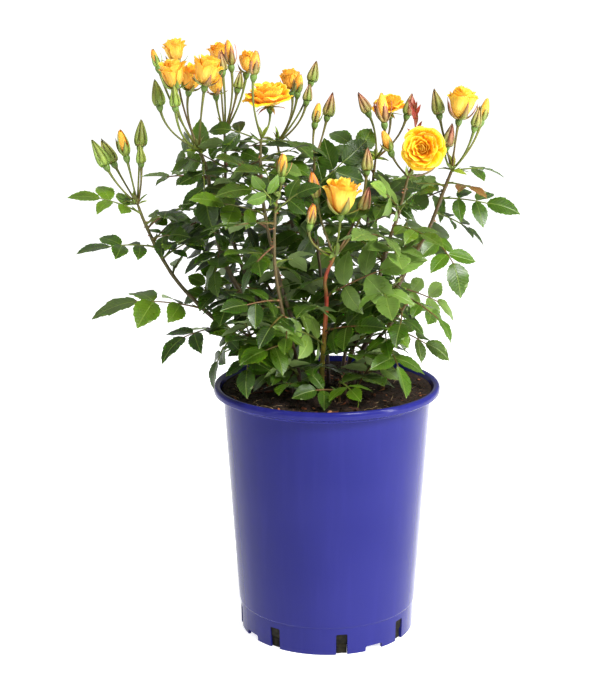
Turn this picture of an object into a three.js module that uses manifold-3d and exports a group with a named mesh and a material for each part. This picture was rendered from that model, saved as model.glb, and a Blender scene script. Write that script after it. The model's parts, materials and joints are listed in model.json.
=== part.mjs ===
// A potted floribunda rose: a round plastic container, its soil, and a bush of leafy canes
// that carry pinnate leaves, closed buds, opening buds and double blooms.
// Millimetres, +Z up. The origin is the middle of the foot that the pot stands on, -Y is the front.

import * as THREE from 'three';
import { mergeVertices } from 'three/addons/utils/BufferGeometryUtils.js';
import Module from 'manifold-3d';

const wasm = await Module();
wasm.setup();

// Driving dimensions of the pot
const potHeight = 236;
const potSegments = 28;
const rimRadius = 105;
const rimDepth = 7;
const rimWidth = 6;
const rimDip = 0.6;
const lipBevel = [2.4, 1.6];
const shoulderDepth = 4;
const bodyTopRadius = 96;
const baseRadius = 82;
const bandHeight = 26;
const bandStep = 1.2;
const wall = 1.8;
const footRadius = 22;
const footRingWidth = 3;
const footRingSlope = 1;
const floorUnderside = 8.5;
const slotCount = 8;
const slotWidth = 10.5;
const slotHeight = 20;
const slotPhase = 9.5;
const slotDepth = 12;
const notchCount = 4;
const notchWidth = 18;
const notchHeight = 5;
const notchPhase = 32;
const notchDepth = 6;
const cornerRadius = 1.5;
const cutBelow = 2;

// Driving dimensions of the soil
const soilTop = 230;
const soilSegments = 20;
const soilRings = [0.7, 0.35, 0];
const soilEdgeDrop = 2;
const soilEdgeInset = 0.4;
const soilLump = 2.2;
const soilLumpsAcross = [9, 11];
const clearance = 0.3;

// Driving dimensions of the canes and of the flower stalks
const plantSeed = 20417;
const caneSteps = 7;
const caneSides = 5;
const caneTipShare = 0.55;
const stalkRadius = 0.95;
const stalkSides = 3;
const stalkShares = [0, 0.35, 0.7, 1];
const stalkBend = 0.45;
const stalkIntoCalyx = 1;

// Gaps that a leaf keeps to other leaves, stems, flowers, the soil and the pot's rim
const leafGap = 5;
const stemGap = 4;
const flowerGap = 4;
const ownCaneEase = 1;
const leafOverSoil = 2;
const leafOverRim = 6;
const leafInsideRim = 84;

// Places at which stems and flowers are measured
const caneTests = 80;
const stalkTests = [0, 0.33, 0.67];
const bloomTest = 0.62;
const calyxTest = 0.2;
const leafletTests = { along: [0.15, 0.35, 0.55, 0.75], across: [-0.25, -0.08, 0.08, 0.25], tip: 0.95 };
const ribTests = [0.2, 0.3, 0.4, 0.5];

// Each cane: points of its centre line from inside the soil to its tip, its thickness at the soil,
// its leaves, as [place along the cane from 0 to 1, x, y, z of the leaf's tip, leaflets],
// its flowers, as [kind, place along the cane, foot of the calyx, tip of the bud or bloom],
// and how many more leaves stand round it by rule, as [first place, last place, number, first azimuth].
const canes = [
  {
    name: 'far_left',
    radius: 2.3,
    path: [[-20, 2, 201], [-54, 4, 256], [-96, 6, 288], [-132, 8, 323], [-152, 10, 353], [-166, 10, 384],
      [-172, 10, 401]],
    leaves: [[0.91, -230, -6, 412, 5], [0.71, -221, -24, 361, 5], [0.41, -212, -16, 311, 5],
      [0.33, -150, -40, 275, 5], [0.8, -129, 44, 394, 3], [0.57, -120, 56, 361, 3]],
    flowers: [
      ['closed', 1, [-197, 4, 433], [-209, 4, 457]],
      ['closed', 1, [-192, 18, 434], [-204, 22, 456]],
      ['bud', 1, [-179, 2, 441], [-185, 0, 470]],
      ['closed', 1, [-169, 14, 449], [-167, 14, 474]],
      ['closed', 1, [-166, -4, 437], [-166, -8, 454]],
    ],
    more: [0.3, 0.5, 0, 250],
  },
  {
    name: 'upper_left',
    radius: 2.9,
    path: [[-16, 14, 201], [-39, 16, 263], [-74, 20, 308], [-95, 24, 346], [-105, 22, 392], [-108, 18, 426],
      [-115, 12, 450]],
    leaves: [[0.82, -162, -20, 424, 5], [0.65, -146, 4, 366, 5], [0.54, -99, -22, 325, 3],
      [0.41, -134, 20, 298, 3], [0.9, -142, 50, 440, 3]],
    flowers: [
      ['closed', 1, [-149, 10, 486], [-153, 10, 510]],
      ['closed', 1, [-131, -34, 489], [-132, -36, 508]],
      ['bud', 1, [-150, 22, 519], [-156, 24, 540]],
      ['half', 1, [-133, -16, 502], [-135, -20, 531]],
      ['half', 1, [-137, 42, 521], [-139, 44, 546]],
      ['half', 1, [-124, 14, 499], [-118, 6, 524]],
      ['half', 1, [-107, -20, 505], [-102, -22, 535]],
    ],
    more: [0.34, 0.75, 1, 60],
  },
  {
    name: 'left_centre',
    radius: 2.2,
    path: [[-12, 28, 201], [-32, 34, 256], [-64, 42, 305], [-85, 44, 352], [-93, 40, 400], [-93, 34, 438],
      [-93, 30, 464]],
    leaves: [[0.89, -62, 2, 444, 3], [0.74, -124, 74, 425, 3], [0.61, -128, 84, 356, 3]],
    flowers: [
      ['half', 1, [-98, 56, 518], [-99, 56, 542]],
      ['half', 1, [-100, 30, 494], [-101, 26, 515]],
      ['bud', 1, [-85, 20, 520], [-88, 20, 548]],
      ['closed', 1, [-92, 6, 517], [-94, 6, 535]],
      ['closed', 1, [-81, 26, 500], [-78, 28, 516]],
      ['half', 1, [-73, 32, 513], [-70, 32, 535]],
    ],
    more: [0.36, 0.8, 2, 30],
  },
  {
    name: 'upper_centre',
    radius: 2,
    path: [[-12, -12, 201], [-24, -20, 276], [-38, -34, 325], [-50, -38, 376], [-57, -30, 419],
      [-58, -22, 453], [-57, -20, 464]],
    leaves: [[0.58, -115, -66, 413, 5], [0.71, -94, -62, 450, 3], [0.45, -86, -84, 368, 3],
      [0.76, -24, -54, 436, 3]],
    flowers: [
      ['bud', 1, [-63, -36, 515], [-60, -38, 541]],
      ['open', 1, [-50, -2, 485], [-52, -6, 512]],
    ],
    more: [0.3, 0.6, 0, 100],
  },
  {
    name: 'upper_mid',
    radius: 2,
    path: [[-2, 28, 201], [-14, 36, 263], [-23, 62, 310], [-32, 76, 366], [-40, 72, 415], [-46, 62, 451]],
    leaves: [[0.8, 2, 104, 436, 3], [0.64, 12, 122, 388, 3], [0.71, -76, 118, 386, 3]],
    flowers: [
      ['half', 1, [-32, 76, 493], [-35, 78, 517]],
      ['bud', 1, [-27, 48, 494], [-24, 46, 516]],
      ['closed', 1, [-15, 68, 503], [-10, 70, 523]],
      ['closed', 1, [-19, 60, 486], [-16, 62, 503]],
    ],
    more: [0.4, 0.9, 1, 80],
  },
  {
    name: 'centre_back',
    radius: 1.9,
    path: [[4, 8, 201], [0, 10, 269], [-4, 22, 319], [-10, 30, 374], [-13, 28, 411], [-11, 22, 439]],
    leaves: [[0.8, 22, 30, 468, 3], [0.69, 24, -6, 418, 3], [0.53, -30, -16, 398, 3]],
    flowers: [
      ['bud', 1, [-11, 18, 469], [-7, 18, 492]],
      ['closed', 1, [0, 34, 474], [5, 36, 496]],
    ],
    more: [0.4, 0.9, 1, 20],
  },
  {
    name: 'front',
    radius: 2.5,
    path: [[-6, -20, 201], [-4, -22, 257], [-2, -34, 289], [0, -44, 323], [-1, -50, 344], [7, -54, 364]],
    leaves: [[0.78, -85, -98, 395, 5], [0.42, 48, -92, 309, 5], [0.63, 81, -74, 367, 5],
      [0.52, -24, -96, 318, 3], [0.33, -42, -86, 300, 5], [0.2, -12, -82, 262, 3]],
    flowers: [
      ['bud', 1, [-8, -44, 409], [-13, -44, 437]],
      ['bud', 1, [-15, -62, 389], [-11, -62, 412]],
      ['half', 1, [12, -60, 397], [15, -62, 434]],
      ['closed', 1, [30, -46, 399], [36, -46, 420]],
      ['closed', 1, [35, -36, 433], [36, -36, 453]],
    ],
    more: [0.3, 0.4, 0, 200],
  },
  {
    name: 'low_centre',
    radius: 1.9,
    path: [[-20, -32, 201], [-27, -40, 267], [-37, -66, 310], [-44, -80, 357], [-44, -84, 397],
      [-42, -84, 418]],
    leaves: [[0.95, -62, -102, 442, 3], [0.89, -8, -100, 434, 3], [0.48, -88, -112, 326, 5],
      [0.42, -46, -126, 305, 5], [0.28, -72, -98, 280, 3]],
    flowers: [['bud', 1, [-38, -84, 433], [-36, -84, 458]]],
    more: [0.3, 0.7, 0, 190],
  },
  {
    name: 'right_inner',
    radius: 2.2,
    path: [[12, -16, 201], [23, -20, 271], [41, -36, 321], [54, -40, 372], [64, -34, 400], [72, -24, 430]],
    leaves: [[0.8, 38, -78, 430, 5], [0.71, 97, -80, 377, 5], [0.49, 26, -102, 340, 3],
      [0.2, 25, -84, 272, 3], [0.34, 44, -90, 300, 3]],
    flowers: [
      ['open', 1, [86, -28, 454], [81, -52, 458]],
      ['bud', 1, [58, -22, 448], [49, -26, 471]],
      ['closed', 1, [99, -12, 442], [103, -12, 455]],
    ],
    more: [0.34, 0.6, 1, 170],
  },
  {
    name: 'right_centre',
    radius: 2,
    path: [[10, 26, 201], [18, 30, 259], [30, 44, 314], [37, 44, 367], [42, 36, 410], [45, 28, 440]],
    leaves: [[0.8, 14, 60, 442, 3], [0.62, 6, 104, 376, 3], [0.72, 80, 96, 402, 3]],
    flowers: [
      ['closed', 1, [39, 22, 479], [30, 20, 497]],
      ['open', 1, [59, 50, 475], [57, 46, 495]],
      ['bud', 1, [52, 2, 470], [49, 0, 502]],
      ['closed', 1, [72, 24, 476], [77, 24, 496]],
    ],
    more: [0.36, 0.9, 2, 10],
  },
  {
    name: 'far_right',
    radius: 2.5,
    path: [[18, 6, 201], [33, 8, 263], [62, 14, 317], [77, 16, 346], [93, 14, 376], [106, 10, 412],
      [113, 6, 432]],
    leaves: [[0.99, 160, 4, 430, 3], [0.89, 141, -18, 412, 3], [0.8, 172, -4, 404, 5],
      [0.74, 146, 24, 362, 5], [0.66, 125, -30, 329, 5], [0.36, 124, 26, 294, 5], [0.84, 80, 60, 392, 3],
      [0.3, 74, -44, 306, 3]],
    flowers: [
      ['closed', 1, [102, 14, 477], [97, 14, 500]],
      ['half', 1, [117, -2, 473], [122, -4, 506]],
      ['closed', 1, [129, -24, 470], [133, -26, 488]],
      ['bud', 1, [138, 12, 471], [144, 12, 496]],
      ['closed', 1, [107, 8, 449], [112, 8, 470]],
    ],
    more: [0.36, 0.6, 0, 310],
  },
  {
    name: 'low_right',
    radius: 1.9,
    path: [[22, -14, 201], [33, -16, 261], [52, -26, 290], [66, -30, 308], [74, -30, 322]],
    leaves: [[0.99, 112, -56, 292, 5], [0.78, 84, -88, 290, 5], [0.45, 69, -88, 249, 5],
      [0.56, 98, -26, 251, 5]],
    flowers: [],
    more: [0.5, 0.9, 0, 20],
  },
  {
    name: 'low_left',
    radius: 1.9,
    path: [[-28, -18, 201], [-37, -22, 256], [-60, -36, 281], [-80, -42, 297]],
    leaves: [[0.99, -104, -64, 250, 5], [0.8, -70, -88, 253, 5], [0.6, -46, -98, 254, 5]],
    flowers: [],
    more: [0.5, 0.9, 0, 20],
  },
  {
    name: 'front_shoot',
    radius: 1.4,
    path: [[12, -42, 201], [12, -46, 224], [11, -52, 240], [12, -60, 252]],
    leaves: [[1, 28, -104, 240, 3], [0.72, -22, -88, 248, 3]],
    flowers: [],
    more: [0.5, 0.9, 0, 20],
  },
  {
    name: 'back_left',
    radius: 2,
    path: [[-16, 46, 201], [-27, 56, 258], [-50, 84, 296], [-72, 104, 338], [-78, 112, 372]],
    leaves: [],
    flowers: [],
    more: [0.4, 1, 4, 100],
  },
  {
    name: 'back_right',
    radius: 2,
    path: [[14, 44, 201], [26, 54, 258], [50, 82, 296], [70, 102, 336], [78, 108, 366]],
    leaves: [],
    flowers: [],
    more: [0.4, 1, 4, 20],
  },
];

// Driving dimensions of the leaves
const ribThickness = 1.3;
const rachisHalfWidth = 0.95;
const rachisDepth = 1.3;
const leafArch = 0.13;
const handRoll = 20;

// The leaves that stand by rule: their turn round the cane, rise, length and roll
const goldenTurn = 144;
const turnSpread = 15;
const riseAtFoot = -4;
const riseGain = 26;
const riseSpread = 8;
const leastLength = 62;
const moreLength = 14;
const ruleRoll = 25;

// Places of the leaflet pairs along the leaf, with their lengths as shares of the leaf's length
const leafForms = {
  5: { pairs: [{ at: 0.26, length: 0.31, angle: 68 }, { at: 0.5, length: 0.37, angle: 58 }], end: 0.57 },
  3: { pairs: [{ at: 0.42, length: 0.44, angle: 60 }], end: 0.5 },
};

// Half outlines of a leaflet, from its foot to near its tip: [along, across] as shares of its length
const sideOutline = [[0.24, 0.27], [0.5, 0.29], [0.56, 0.245]];
const endOutline = [[0.2, 0.24], [0.44, 0.3], [0.5, 0.255], [0.74, 0.16]];
const leafletFold = 0.16;
const leafletArch = 0.05;
const leafletMiddle = 0.5;
const leafletJoint = 1.6;
const leafletDroop = 0.12;

// How far a leaf faces outward along itself, and away from a line that stands behind the middle
const outwardLean = 0.35;
const frontLean = 1.15;
const lightBehind = 70;

// Turns that are tried, in degrees about the vertical and up or down, until a leaf is clear of the rest
const handTurns = [[0, 0], [0, 8], [0, -8], [9, 0], [-9, 0], [9, 9], [-9, -9], [16, 0], [-16, 0],
  [0, 16], [0, -16], [22, 8], [-22, 8], [28, -8], [-28, -8]];
const ruleTurns = [[0, 0], [24, 0], [-24, 0], [0, 22], [0, -22], [48, 0], [-48, 0], [48, 22], [-48, 22],
  [48, -22], [-48, -22], [80, 0], [-80, 0], [110, 10], [-110, 10], [140, -10], [-140, -10], [180, 0]];

// Driving dimensions of the flowers. A bloom of the nominal length has the sizes given here.
const nominalBloom = 30;
const hipHeight = 5.2;
const hipRadius = 2.5;
const hipWidest = 2.2;
const hipIntoStalk = 1.5;
const flowerReach = { closed: 5, bud: 8, half: 14, open: 25 };

// A closed bud: where it is widest and where it narrows, as shares of its length, and its widest radius
const closedBud = { widest: 0.44, narrow: 0.76, width: 0.22, most: 5.4, neck: [2, 2.2] };

// The roll of petals in an opening bud: its widest place, its radius there, and how far its tip stays back
const petalRoll = { foot: 0.6, widest: 0.21, radius: 5.1, back: 6, sides: 6 };

// Sepals: five round the neck. Places are [height, radius] for a bloom of the nominal length;
// on a bud they also have a wide middle, so many degrees to each side, and hug the petals.
const sepalCount = 5;
const sepalForms = {
  bud: { middle: [11, 6.6], half: 25, tip: [31.5, 0.9] },
  half: { tip: [5.4, 12] },
  open: { tip: [-0.5, 11] },
};
const calyxNeck = [4.2, 2.2];
const calyxTurn = 20;
const sepalThickness = 1;

// Petals: whorls of four lapping petals, one inside the other, round a furled heart.
// Each ring is [height, radius, drop of the petals' edges, lap of one petal over the next, turn];
// rings with a drop are the petals' rims, and the plain rings between them are the folds where they root.
const petalsInRing = 4;
const cornersInPetal = 3;
const bloomForms = {
  half: [[1.5, 2.4, 0, 0, 0], [9, 8.6, 0, 0.1, 0], [22, 12.6, 6, 0.22, 0], [12, 6.6, 0, 0, 1],
    [25, 7, 5.5, 0.22, 1], [15, 2.6, 0, 0, 2]],
  open: [[1.5, 2.6, 0, 0, 0], [4.5, 11, 0, 0.1, 0], [8, 22.5, 3.5, 0.16, 0], [7, 9.6, 0, 0, 1],
    [14.5, 17, 4, 0.18, 1], [11, 6.4, 0, 0, 2], [18.5, 10.6, 4.5, 0.2, 2], [13, 3, 0, 0, 0]],
};
const bloomHeart = { half: 23.5, open: 18.5 };

const leafMaterial = new THREE.MeshStandardMaterial({ color: 0x3f7a24, roughness: 0.5 });
const petalMaterial = new THREE.MeshStandardMaterial({ color: 0xffb31c, roughness: 0.6 });
const potMaterial = new THREE.MeshStandardMaterial({ color: 0x3c37a6, roughness: 0.3 });
const soilMaterial = new THREE.MeshStandardMaterial({ color: 0x2a1d14, roughness: 1 });

// A repeatable random number from 0 to 1
let randomState = plantSeed;
function random() {
  randomState = (randomState * 1664525 + 1013904223) % 4294967296;
  return randomState / 4294967296;
}

function aboutZero(spread) {
  return spread * (2 * random() - 1);
}

const vector = (list) => new THREE.Vector3(list[0], list[1], list[2]);
const mix = (a, b, share) => a.clone().lerp(b, share);
const radians = THREE.MathUtils.degToRad;

// The direction at an angle round the vertical and a height angle
function towards(turn, rise) {
  return vector([Math.cos(turn) * Math.cos(rise), Math.sin(turn) * Math.cos(rise), Math.sin(rise)]);
}

// The part of a hint that stands square to a direction
function square(direction, hint) {
  return hint.clone().addScaledVector(direction, -hint.dot(direction)).normalize();
}

// Solids

function solidOf(geometry) {
  const bare = geometry.clone();
  bare.deleteAttribute('normal');
  bare.deleteAttribute('uv');
  const merged = mergeVertices(bare, 1e-4);
  const corners = merged.index.array;
  const kept = [];
  for (let i = 0; i < corners.length; i += 3) {
    const [a, b, c] = [corners[i], corners[i + 1], corners[i + 2]];
    if (a !== b && b !== c && c !== a) {
      kept.push(a, b, c);
    }
  }
  const vertProperties = new Float32Array(merged.attributes.position.array);
  const mesh = new wasm.Mesh({ numProp: 3, vertProperties, triVerts: new Uint32Array(kept) });
  return new wasm.Manifold(mesh);
}

function geometryOf(solid) {
  const mesh = solid.getMesh();
  const geometry = new THREE.BufferGeometry();
  geometry.setAttribute('position', new THREE.BufferAttribute(mesh.vertProperties, 3));
  geometry.setIndex(new THREE.BufferAttribute(mesh.triVerts, 1));
  geometry.computeVertexNormals();
  return geometry;
}

function joined(solids) {
  return solids.reduce((sum, solid) => sum.add(solid));
}

function indexedGeometry(points, faces) {
  let volume = 0;
  for (const [a, b, c] of faces) {
    volume += points[a].dot(points[b].clone().cross(points[c]));
  }
  const ordered = volume < 0 ? faces.map(([a, b, c]) => [a, c, b]) : faces;
  const geometry = new THREE.BufferGeometry().setFromPoints(points);
  geometry.setIndex(ordered.flat());
  return geometry;
}

// A tapering round stem through a list of points
function stem(points, radii, sides) {
  const whole = points[points.length - 1].clone().sub(points[0]);
  const hint = Math.abs(whole.y) < Math.abs(whole.x) ? vector([0, 1, 0]) : vector([1, 0, 0]);
  const corners = [];
  points.forEach((point, i) => {
    const before = points[Math.max(i - 1, 0)];
    const after = points[Math.min(i + 1, points.length - 1)];
    const along = after.clone().sub(before).normalize();
    const side = square(along, hint);
    const other = along.clone().cross(side);
    for (let k = 0; k < sides; k += 1) {
      const angle = (2 * Math.PI * k) / sides;
      corners.push(point.clone()
        .addScaledVector(side, radii[i] * Math.cos(angle))
        .addScaledVector(other, radii[i] * Math.sin(angle)));
    }
  });
  const faces = [];
  for (let i = 0; i < points.length - 1; i += 1) {
    for (let k = 0; k < sides; k += 1) {
      const a = i * sides + k;
      const b = i * sides + ((k + 1) % sides);
      faces.push([a, b, b + sides], [a, b + sides, a + sides]);
    }
  }
  const last = (points.length - 1) * sides;
  for (let k = 1; k < sides - 1; k += 1) {
    faces.push([0, k + 1, k], [last, last + k, last + k + 1]);
  }
  return indexedGeometry(corners, faces);
}

// A turned shape on an axis: profile points are [height along the axis, radius]
function turned(foot, axis, profile, sides) {
  const outline = profile.map(([height, radius]) => new THREE.Vector2(radius, height));
  const geometry = new THREE.LatheGeometry(outline, sides);
  const turn = new THREE.Quaternion().setFromUnitVectors(new THREE.Vector3(0, 1, 0), axis);
  geometry.applyQuaternion(turn);
  geometry.translate(foot.x, foot.y, foot.z);
  return geometry;
}

// A blade that is thick along its ribs and sharp at its edge, split alike on both faces
class Blade {
  constructor() {
    this.points = [];
    this.faces = [];
  }

  point(position) {
    this.points.push(position);
    return this.points.length - 1;
  }

  edge(position) {
    const index = this.point(position);
    return [index, index];
  }

  rib(position, offset) {
    return [this.point(position.clone().add(offset)), this.point(position.clone().sub(offset))];
  }

  quad(a, b, c, d) {
    this.faces.push([a, b, c], [a, c, d]);
  }

  face(a, b, c) {
    this.faces.push([a[0], b[0], c[0]], [c[1], b[1], a[1]]);
  }

  fan(middle, ring) {
    for (let i = 0; i < ring.length - 1; i += 1) {
      this.face(middle, ring[i], ring[i + 1]);
    }
  }

  geometry() {
    return indexedGeometry(this.points, this.faces);
  }
}

// Leaves

// The arched midline of a leaf and the frame at any place on it
function leafFrame(base, tip, roll) {
  const chord = tip.clone().sub(base);
  const length = chord.length();
  const out = new THREE.Vector3(chord.x, chord.y, 0).normalize();
  const away = new THREE.Vector3(base.x + tip.x, base.y + tip.y - 2 * lightBehind, 0).normalize();
  const hint = new THREE.Vector3(0, 0, 1).addScaledVector(out, outwardLean).addScaledVector(away, frontLean);
  const up = square(chord.clone().normalize(), hint);
  up.applyAxisAngle(chord.clone().normalize(), radians(roll));
  const middle = mix(base, tip, 0.5).addScaledVector(up, leafArch * length);
  const at = (share) => {
    const point = mix(mix(base, middle, share), mix(middle, tip, share), share);
    const along = mix(middle.clone().sub(base), tip.clone().sub(middle), share).normalize();
    const normal = square(along, up);
    return { point, along, normal, left: normal.clone().cross(along) };
  };
  return { length, at };
}

// Where each leaflet of a leaf starts, which way it points and how long it is
function leafletPlaces(frame, form) {
  const places = [];
  for (const pair of form.pairs) {
    const here = frame.at(pair.at);
    const angle = radians(pair.angle);
    for (const side of [1, -1]) {
      const along = here.along.clone().multiplyScalar(Math.cos(angle))
        .addScaledVector(here.left, side * Math.sin(angle))
        .addScaledVector(here.normal, -leafletDroop)
        .normalize();
      const normal = square(along, here.normal);
      const foot = here.point.clone().addScaledVector(here.left, side * rachisHalfWidth);
      const across = normal.clone().cross(along);
      places.push({ foot, along, normal, across, length: pair.length * frame.length });
    }
  }
  const foot = frame.at(form.end).point;
  const reach = frame.at(1).point.clone().sub(foot);
  const along = reach.clone().normalize();
  const normal = square(along, frame.at(form.end).normal);
  places.push({ foot, along, normal, across: normal.clone().cross(along), length: reach.length() });
  return places;
}

function onLeaflet(place, along, across) {
  const rise = leafletFold * Math.abs(across) + leafletArch * 4 * along * (1 - along);
  return place.foot.clone()
    .addScaledVector(place.along, along * place.length)
    .addScaledVector(place.across, across * place.length)
    .addScaledVector(place.normal, rise * place.length);
}

// One pinnate leaf as a single arched blade, cut to the rib between its leaflets.
// The rib is three-sided, with its flat side down, and opens into the leaflets where they join it.
function leafGeometry(leaf) {
  const form = leafForms[leaf.leaflets];
  const frame = leafFrame(leaf.base, leaf.tip, leaf.roll);
  const places = leafletPlaces(frame, form);
  const blade = new Blade();
  const stations = [0];
  for (const pair of form.pairs) {
    const half = leafletJoint / frame.length;
    stations.push(pair.at - half, pair.at + half);
  }
  stations.push(form.end);
  const ridge = [];
  const edges = { 1: [], '-1': [] };
  for (const share of stations) {
    const here = frame.at(share);
    ridge.push(blade.point(here.point.clone().addScaledVector(here.normal, rachisDepth)));
    for (const side of [1, -1]) {
      edges[side].push(blade.point(here.point.clone().addScaledVector(here.left, side * rachisHalfWidth)));
    }
  }
  const [left, right] = [edges[1], edges[-1]];
  for (let i = 0; i < stations.length - 1; i += 1) {
    const joint = i % 2 === 1 && i < stations.length - 2;
    if (!joint) {
      blade.quad(ridge[i], ridge[i + 1], left[i + 1], left[i]);
      blade.quad(right[i], right[i + 1], ridge[i + 1], ridge[i]);
    }
    blade.quad(left[i], left[i + 1], right[i + 1], right[i]);
  }
  blade.faces.push([left[0], right[0], ridge[0]]);

  const outlineOf = (place, outline, side) => outline.map(
    ([s, w]) => blade.edge(onLeaflet(place, s, side * w)),
  );
  const middleOf = (place) => blade.rib(
    onLeaflet(place, leafletMiddle, 0),
    place.normal.clone().multiplyScalar(ribThickness / 2),
  );
  form.pairs.forEach((pair, i) => {
    for (const side of [1, -1]) {
      const place = places[2 * i + (side === 1 ? 0 : 1)];
      const first = [ridge[2 * i + 1], edges[side][2 * i + 1]];
      const second = [ridge[2 * i + 2], edges[side][2 * i + 2]];
      const lower = outlineOf(place, sideOutline, side);
      const upper = outlineOf(place, sideOutline, -side).reverse();
      const point = blade.edge(onLeaflet(place, 1, 0));
      const ring = [first, ...lower, point, ...upper, second, first];
      const gaps = [[lower[0][0], ...first], [second[0], upper[upper.length - 1][0], second[1]]];
      blade.fan(middleOf(place), side === 1 ? ring.reverse() : ring);
      blade.faces.push(...(side === 1 ? gaps.map((gap) => gap.reverse()) : gaps));
    }
  });

  const end = places[places.length - 1];
  const last = stations.length - 1;
  const rightEdge = outlineOf(end, endOutline, -1);
  const leftEdge = outlineOf(end, endOutline, 1).reverse();
  const point = blade.edge(onLeaflet(end, 1, 0));
  const middle = middleOf(end);
  const [start, close] = [[right[last], right[last]], [left[last], left[last]]];
  blade.fan(middle, [start, ...rightEdge, point, ...leftEdge, close]);
  blade.faces.push([middle[0], ridge[last], right[last]], [middle[0], left[last], ridge[last]]);
  blade.faces.push([middle[1], right[last], left[last]]);
  return blade.geometry();
}

// Points spread over a leaf, by which its distance to other pieces is measured
function leafSamples(leaf) {
  const form = leafForms[leaf.leaflets];
  const frame = leafFrame(leaf.base, leaf.tip, leaf.roll);
  const points = [];
  for (const place of leafletPlaces(frame, form)) {
    for (const along of leafletTests.along) {
      for (const across of leafletTests.across) {
        points.push(onLeaflet(place, along, across * Math.sin(Math.PI * along)));
      }
    }
    points.push(onLeaflet(place, leafletTests.tip, 0));
  }
  for (const share of ribTests) {
    points.push(frame.at(share).point);
  }
  return points;
}

// Canes and the stalks of their flowers

function caneCurve(cane) {
  return new THREE.CatmullRomCurve3(cane.path.map(vector), false, 'catmullrom', 0.5);
}

function caneRadius(cane, share) {
  return cane.radius * (1 - (1 - caneTipShare) * share);
}

function flowerAxis(flower) {
  return vector(flower[3]).sub(vector(flower[2])).normalize();
}

function stalkPoints(cane, flower) {
  const start = caneCurve(cane).getPoint(flower[1]);
  const foot = vector(flower[2]);
  const axis = flowerAxis(flower);
  const bend = foot.clone().addScaledVector(axis, -stalkBend * start.distanceTo(foot));
  const end = foot.clone().addScaledVector(axis, stalkIntoCalyx);
  return stalkShares.map((share) => mix(mix(start, bend, share), mix(bend, end, share), share));
}

// The points of everything but the leaves that a leaf has to keep clear of: [point, distance, cane]
function obstacles() {
  const list = [];
  canes.forEach((cane, number) => {
    const curve = caneCurve(cane);
    for (let i = 0; i <= caneTests; i += 1) {
      const share = i / caneTests;
      list.push({ point: curve.getPoint(share), reach: caneRadius(cane, share) + stemGap, cane: number });
    }
    for (const flower of cane.flowers) {
      const stalk = stalkPoints(cane, flower);
      for (let i = 0; i < stalk.length - 1; i += 1) {
        for (const share of stalkTests) {
          const point = mix(stalk[i], stalk[i + 1], share);
          list.push({ point, reach: stalkRadius + stemGap, cane: number });
        }
      }
      const [foot, tip] = [vector(flower[2]), vector(flower[3])];
      const size = tip.distanceTo(foot) / nominalBloom;
      const reach = flowerReach[flower[0]] * size + flowerGap;
      list.push({ point: mix(foot, tip, bloomTest), reach, cane: number });
      list.push({ point: mix(foot, tip, calyxTest), reach: hipRadius + flowerGap, cane: number });
    }
  });
  return list;
}

// A leaf is turned about its foot until it is clear of the stems, the flowers and the leaves so far
function placeLeaf(wanted, turns, taken, fixed) {
  const toTip = wanted.tip.clone().sub(wanted.base);
  const flat = Math.hypot(toTip.x, toTip.y);
  const azimuth = Math.atan2(toTip.y, toTip.x);
  const height = Math.atan2(toTip.z, flat);
  const length = toTip.length();
  const reachOf = (thing) => (thing.cane === wanted.cane ? thing.reach - ownCaneEase : thing.reach);
  for (const [aside, upward] of turns) {
    const a = azimuth + radians(aside);
    const h = height + radians(upward);
    const leaf = { ...wanted, tip: wanted.base.clone().addScaledVector(towards(a, h), length) };
    const samples = leafSamples(leaf);
    const lowest = Math.min(...samples.map((point) => point.z));
    const inPot = samples.some(
      (point) => point.z < potHeight + leafOverRim && Math.hypot(point.x, point.y) > leafInsideRim,
    );
    const clearOfStems = samples.every(
      (point) => fixed.every((thing) => point.distanceTo(thing.point) > reachOf(thing)),
    );
    const clearOfLeaves = samples.every((point) => taken.every((other) => point.distanceTo(other) > leafGap));
    if (lowest > soilTop + leafOverSoil && !inPot && clearOfStems && clearOfLeaves) {
      taken.push(...samples);
      return leaf;
    }
  }
  return null;
}

// All leaves of the bush: first the ones set by hand, then those that the rule adds
function growLeaves() {
  const fixed = obstacles();
  const taken = [];
  const leaves = [];
  canes.forEach((cane, number) => {
    const curve = caneCurve(cane);
    for (const [at, x, y, z, leaflets] of cane.leaves) {
      const roll = aboutZero(handRoll);
      const wanted = { cane: number, base: curve.getPoint(at), tip: vector([x, y, z]), roll, leaflets };
      const leaf = placeLeaf(wanted, handTurns, taken, fixed);
      if (leaf) {
        leaves.push(leaf);
      }
    }
  });
  canes.forEach((cane, number) => {
    const curve = caneCurve(cane);
    const [first, last, count, azimuth] = cane.more;
    for (let i = 0; i < count; i += 1) {
      const share = count === 1 ? first : first + ((last - first) * i) / (count - 1);
      const turn = radians(azimuth + goldenTurn * i + aboutZero(turnSpread));
      const rise = radians(riseAtFoot + riseGain * share + aboutZero(riseSpread));
      const length = leastLength + moreLength * random();
      const roll = aboutZero(ruleRoll);
      const base = curve.getPoint(share);
      const offset = towards(turn, rise);
      const tip = base.clone().addScaledVector(offset, length);
      const wanted = { cane: number, base, tip, roll, leaflets: 3 };
      const leaf = placeLeaf(wanted, ruleTurns, taken, fixed);
      if (leaf) {
        leaves.push(leaf);
      }
    }
  });
  return leaves;
}

// Flowers

function besideAxis(axis) {
  const hint = Math.abs(axis.y) < 0.8 ? vector([0, 1, 0]) : vector([1, 0, 0]);
  const first = square(axis, hint);
  return [first, axis.clone().cross(first)];
}

// A point at a height along the flower's axis, a radius and an angle round it
function aroundAxis(flower, height, radius, degrees) {
  const [first, second] = besideAxis(flower.axis);
  return flower.foot.clone()
    .addScaledVector(flower.axis, height)
    .addScaledVector(first, radius * Math.cos(radians(degrees)))
    .addScaledVector(second, radius * Math.sin(radians(degrees)));
}

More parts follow.
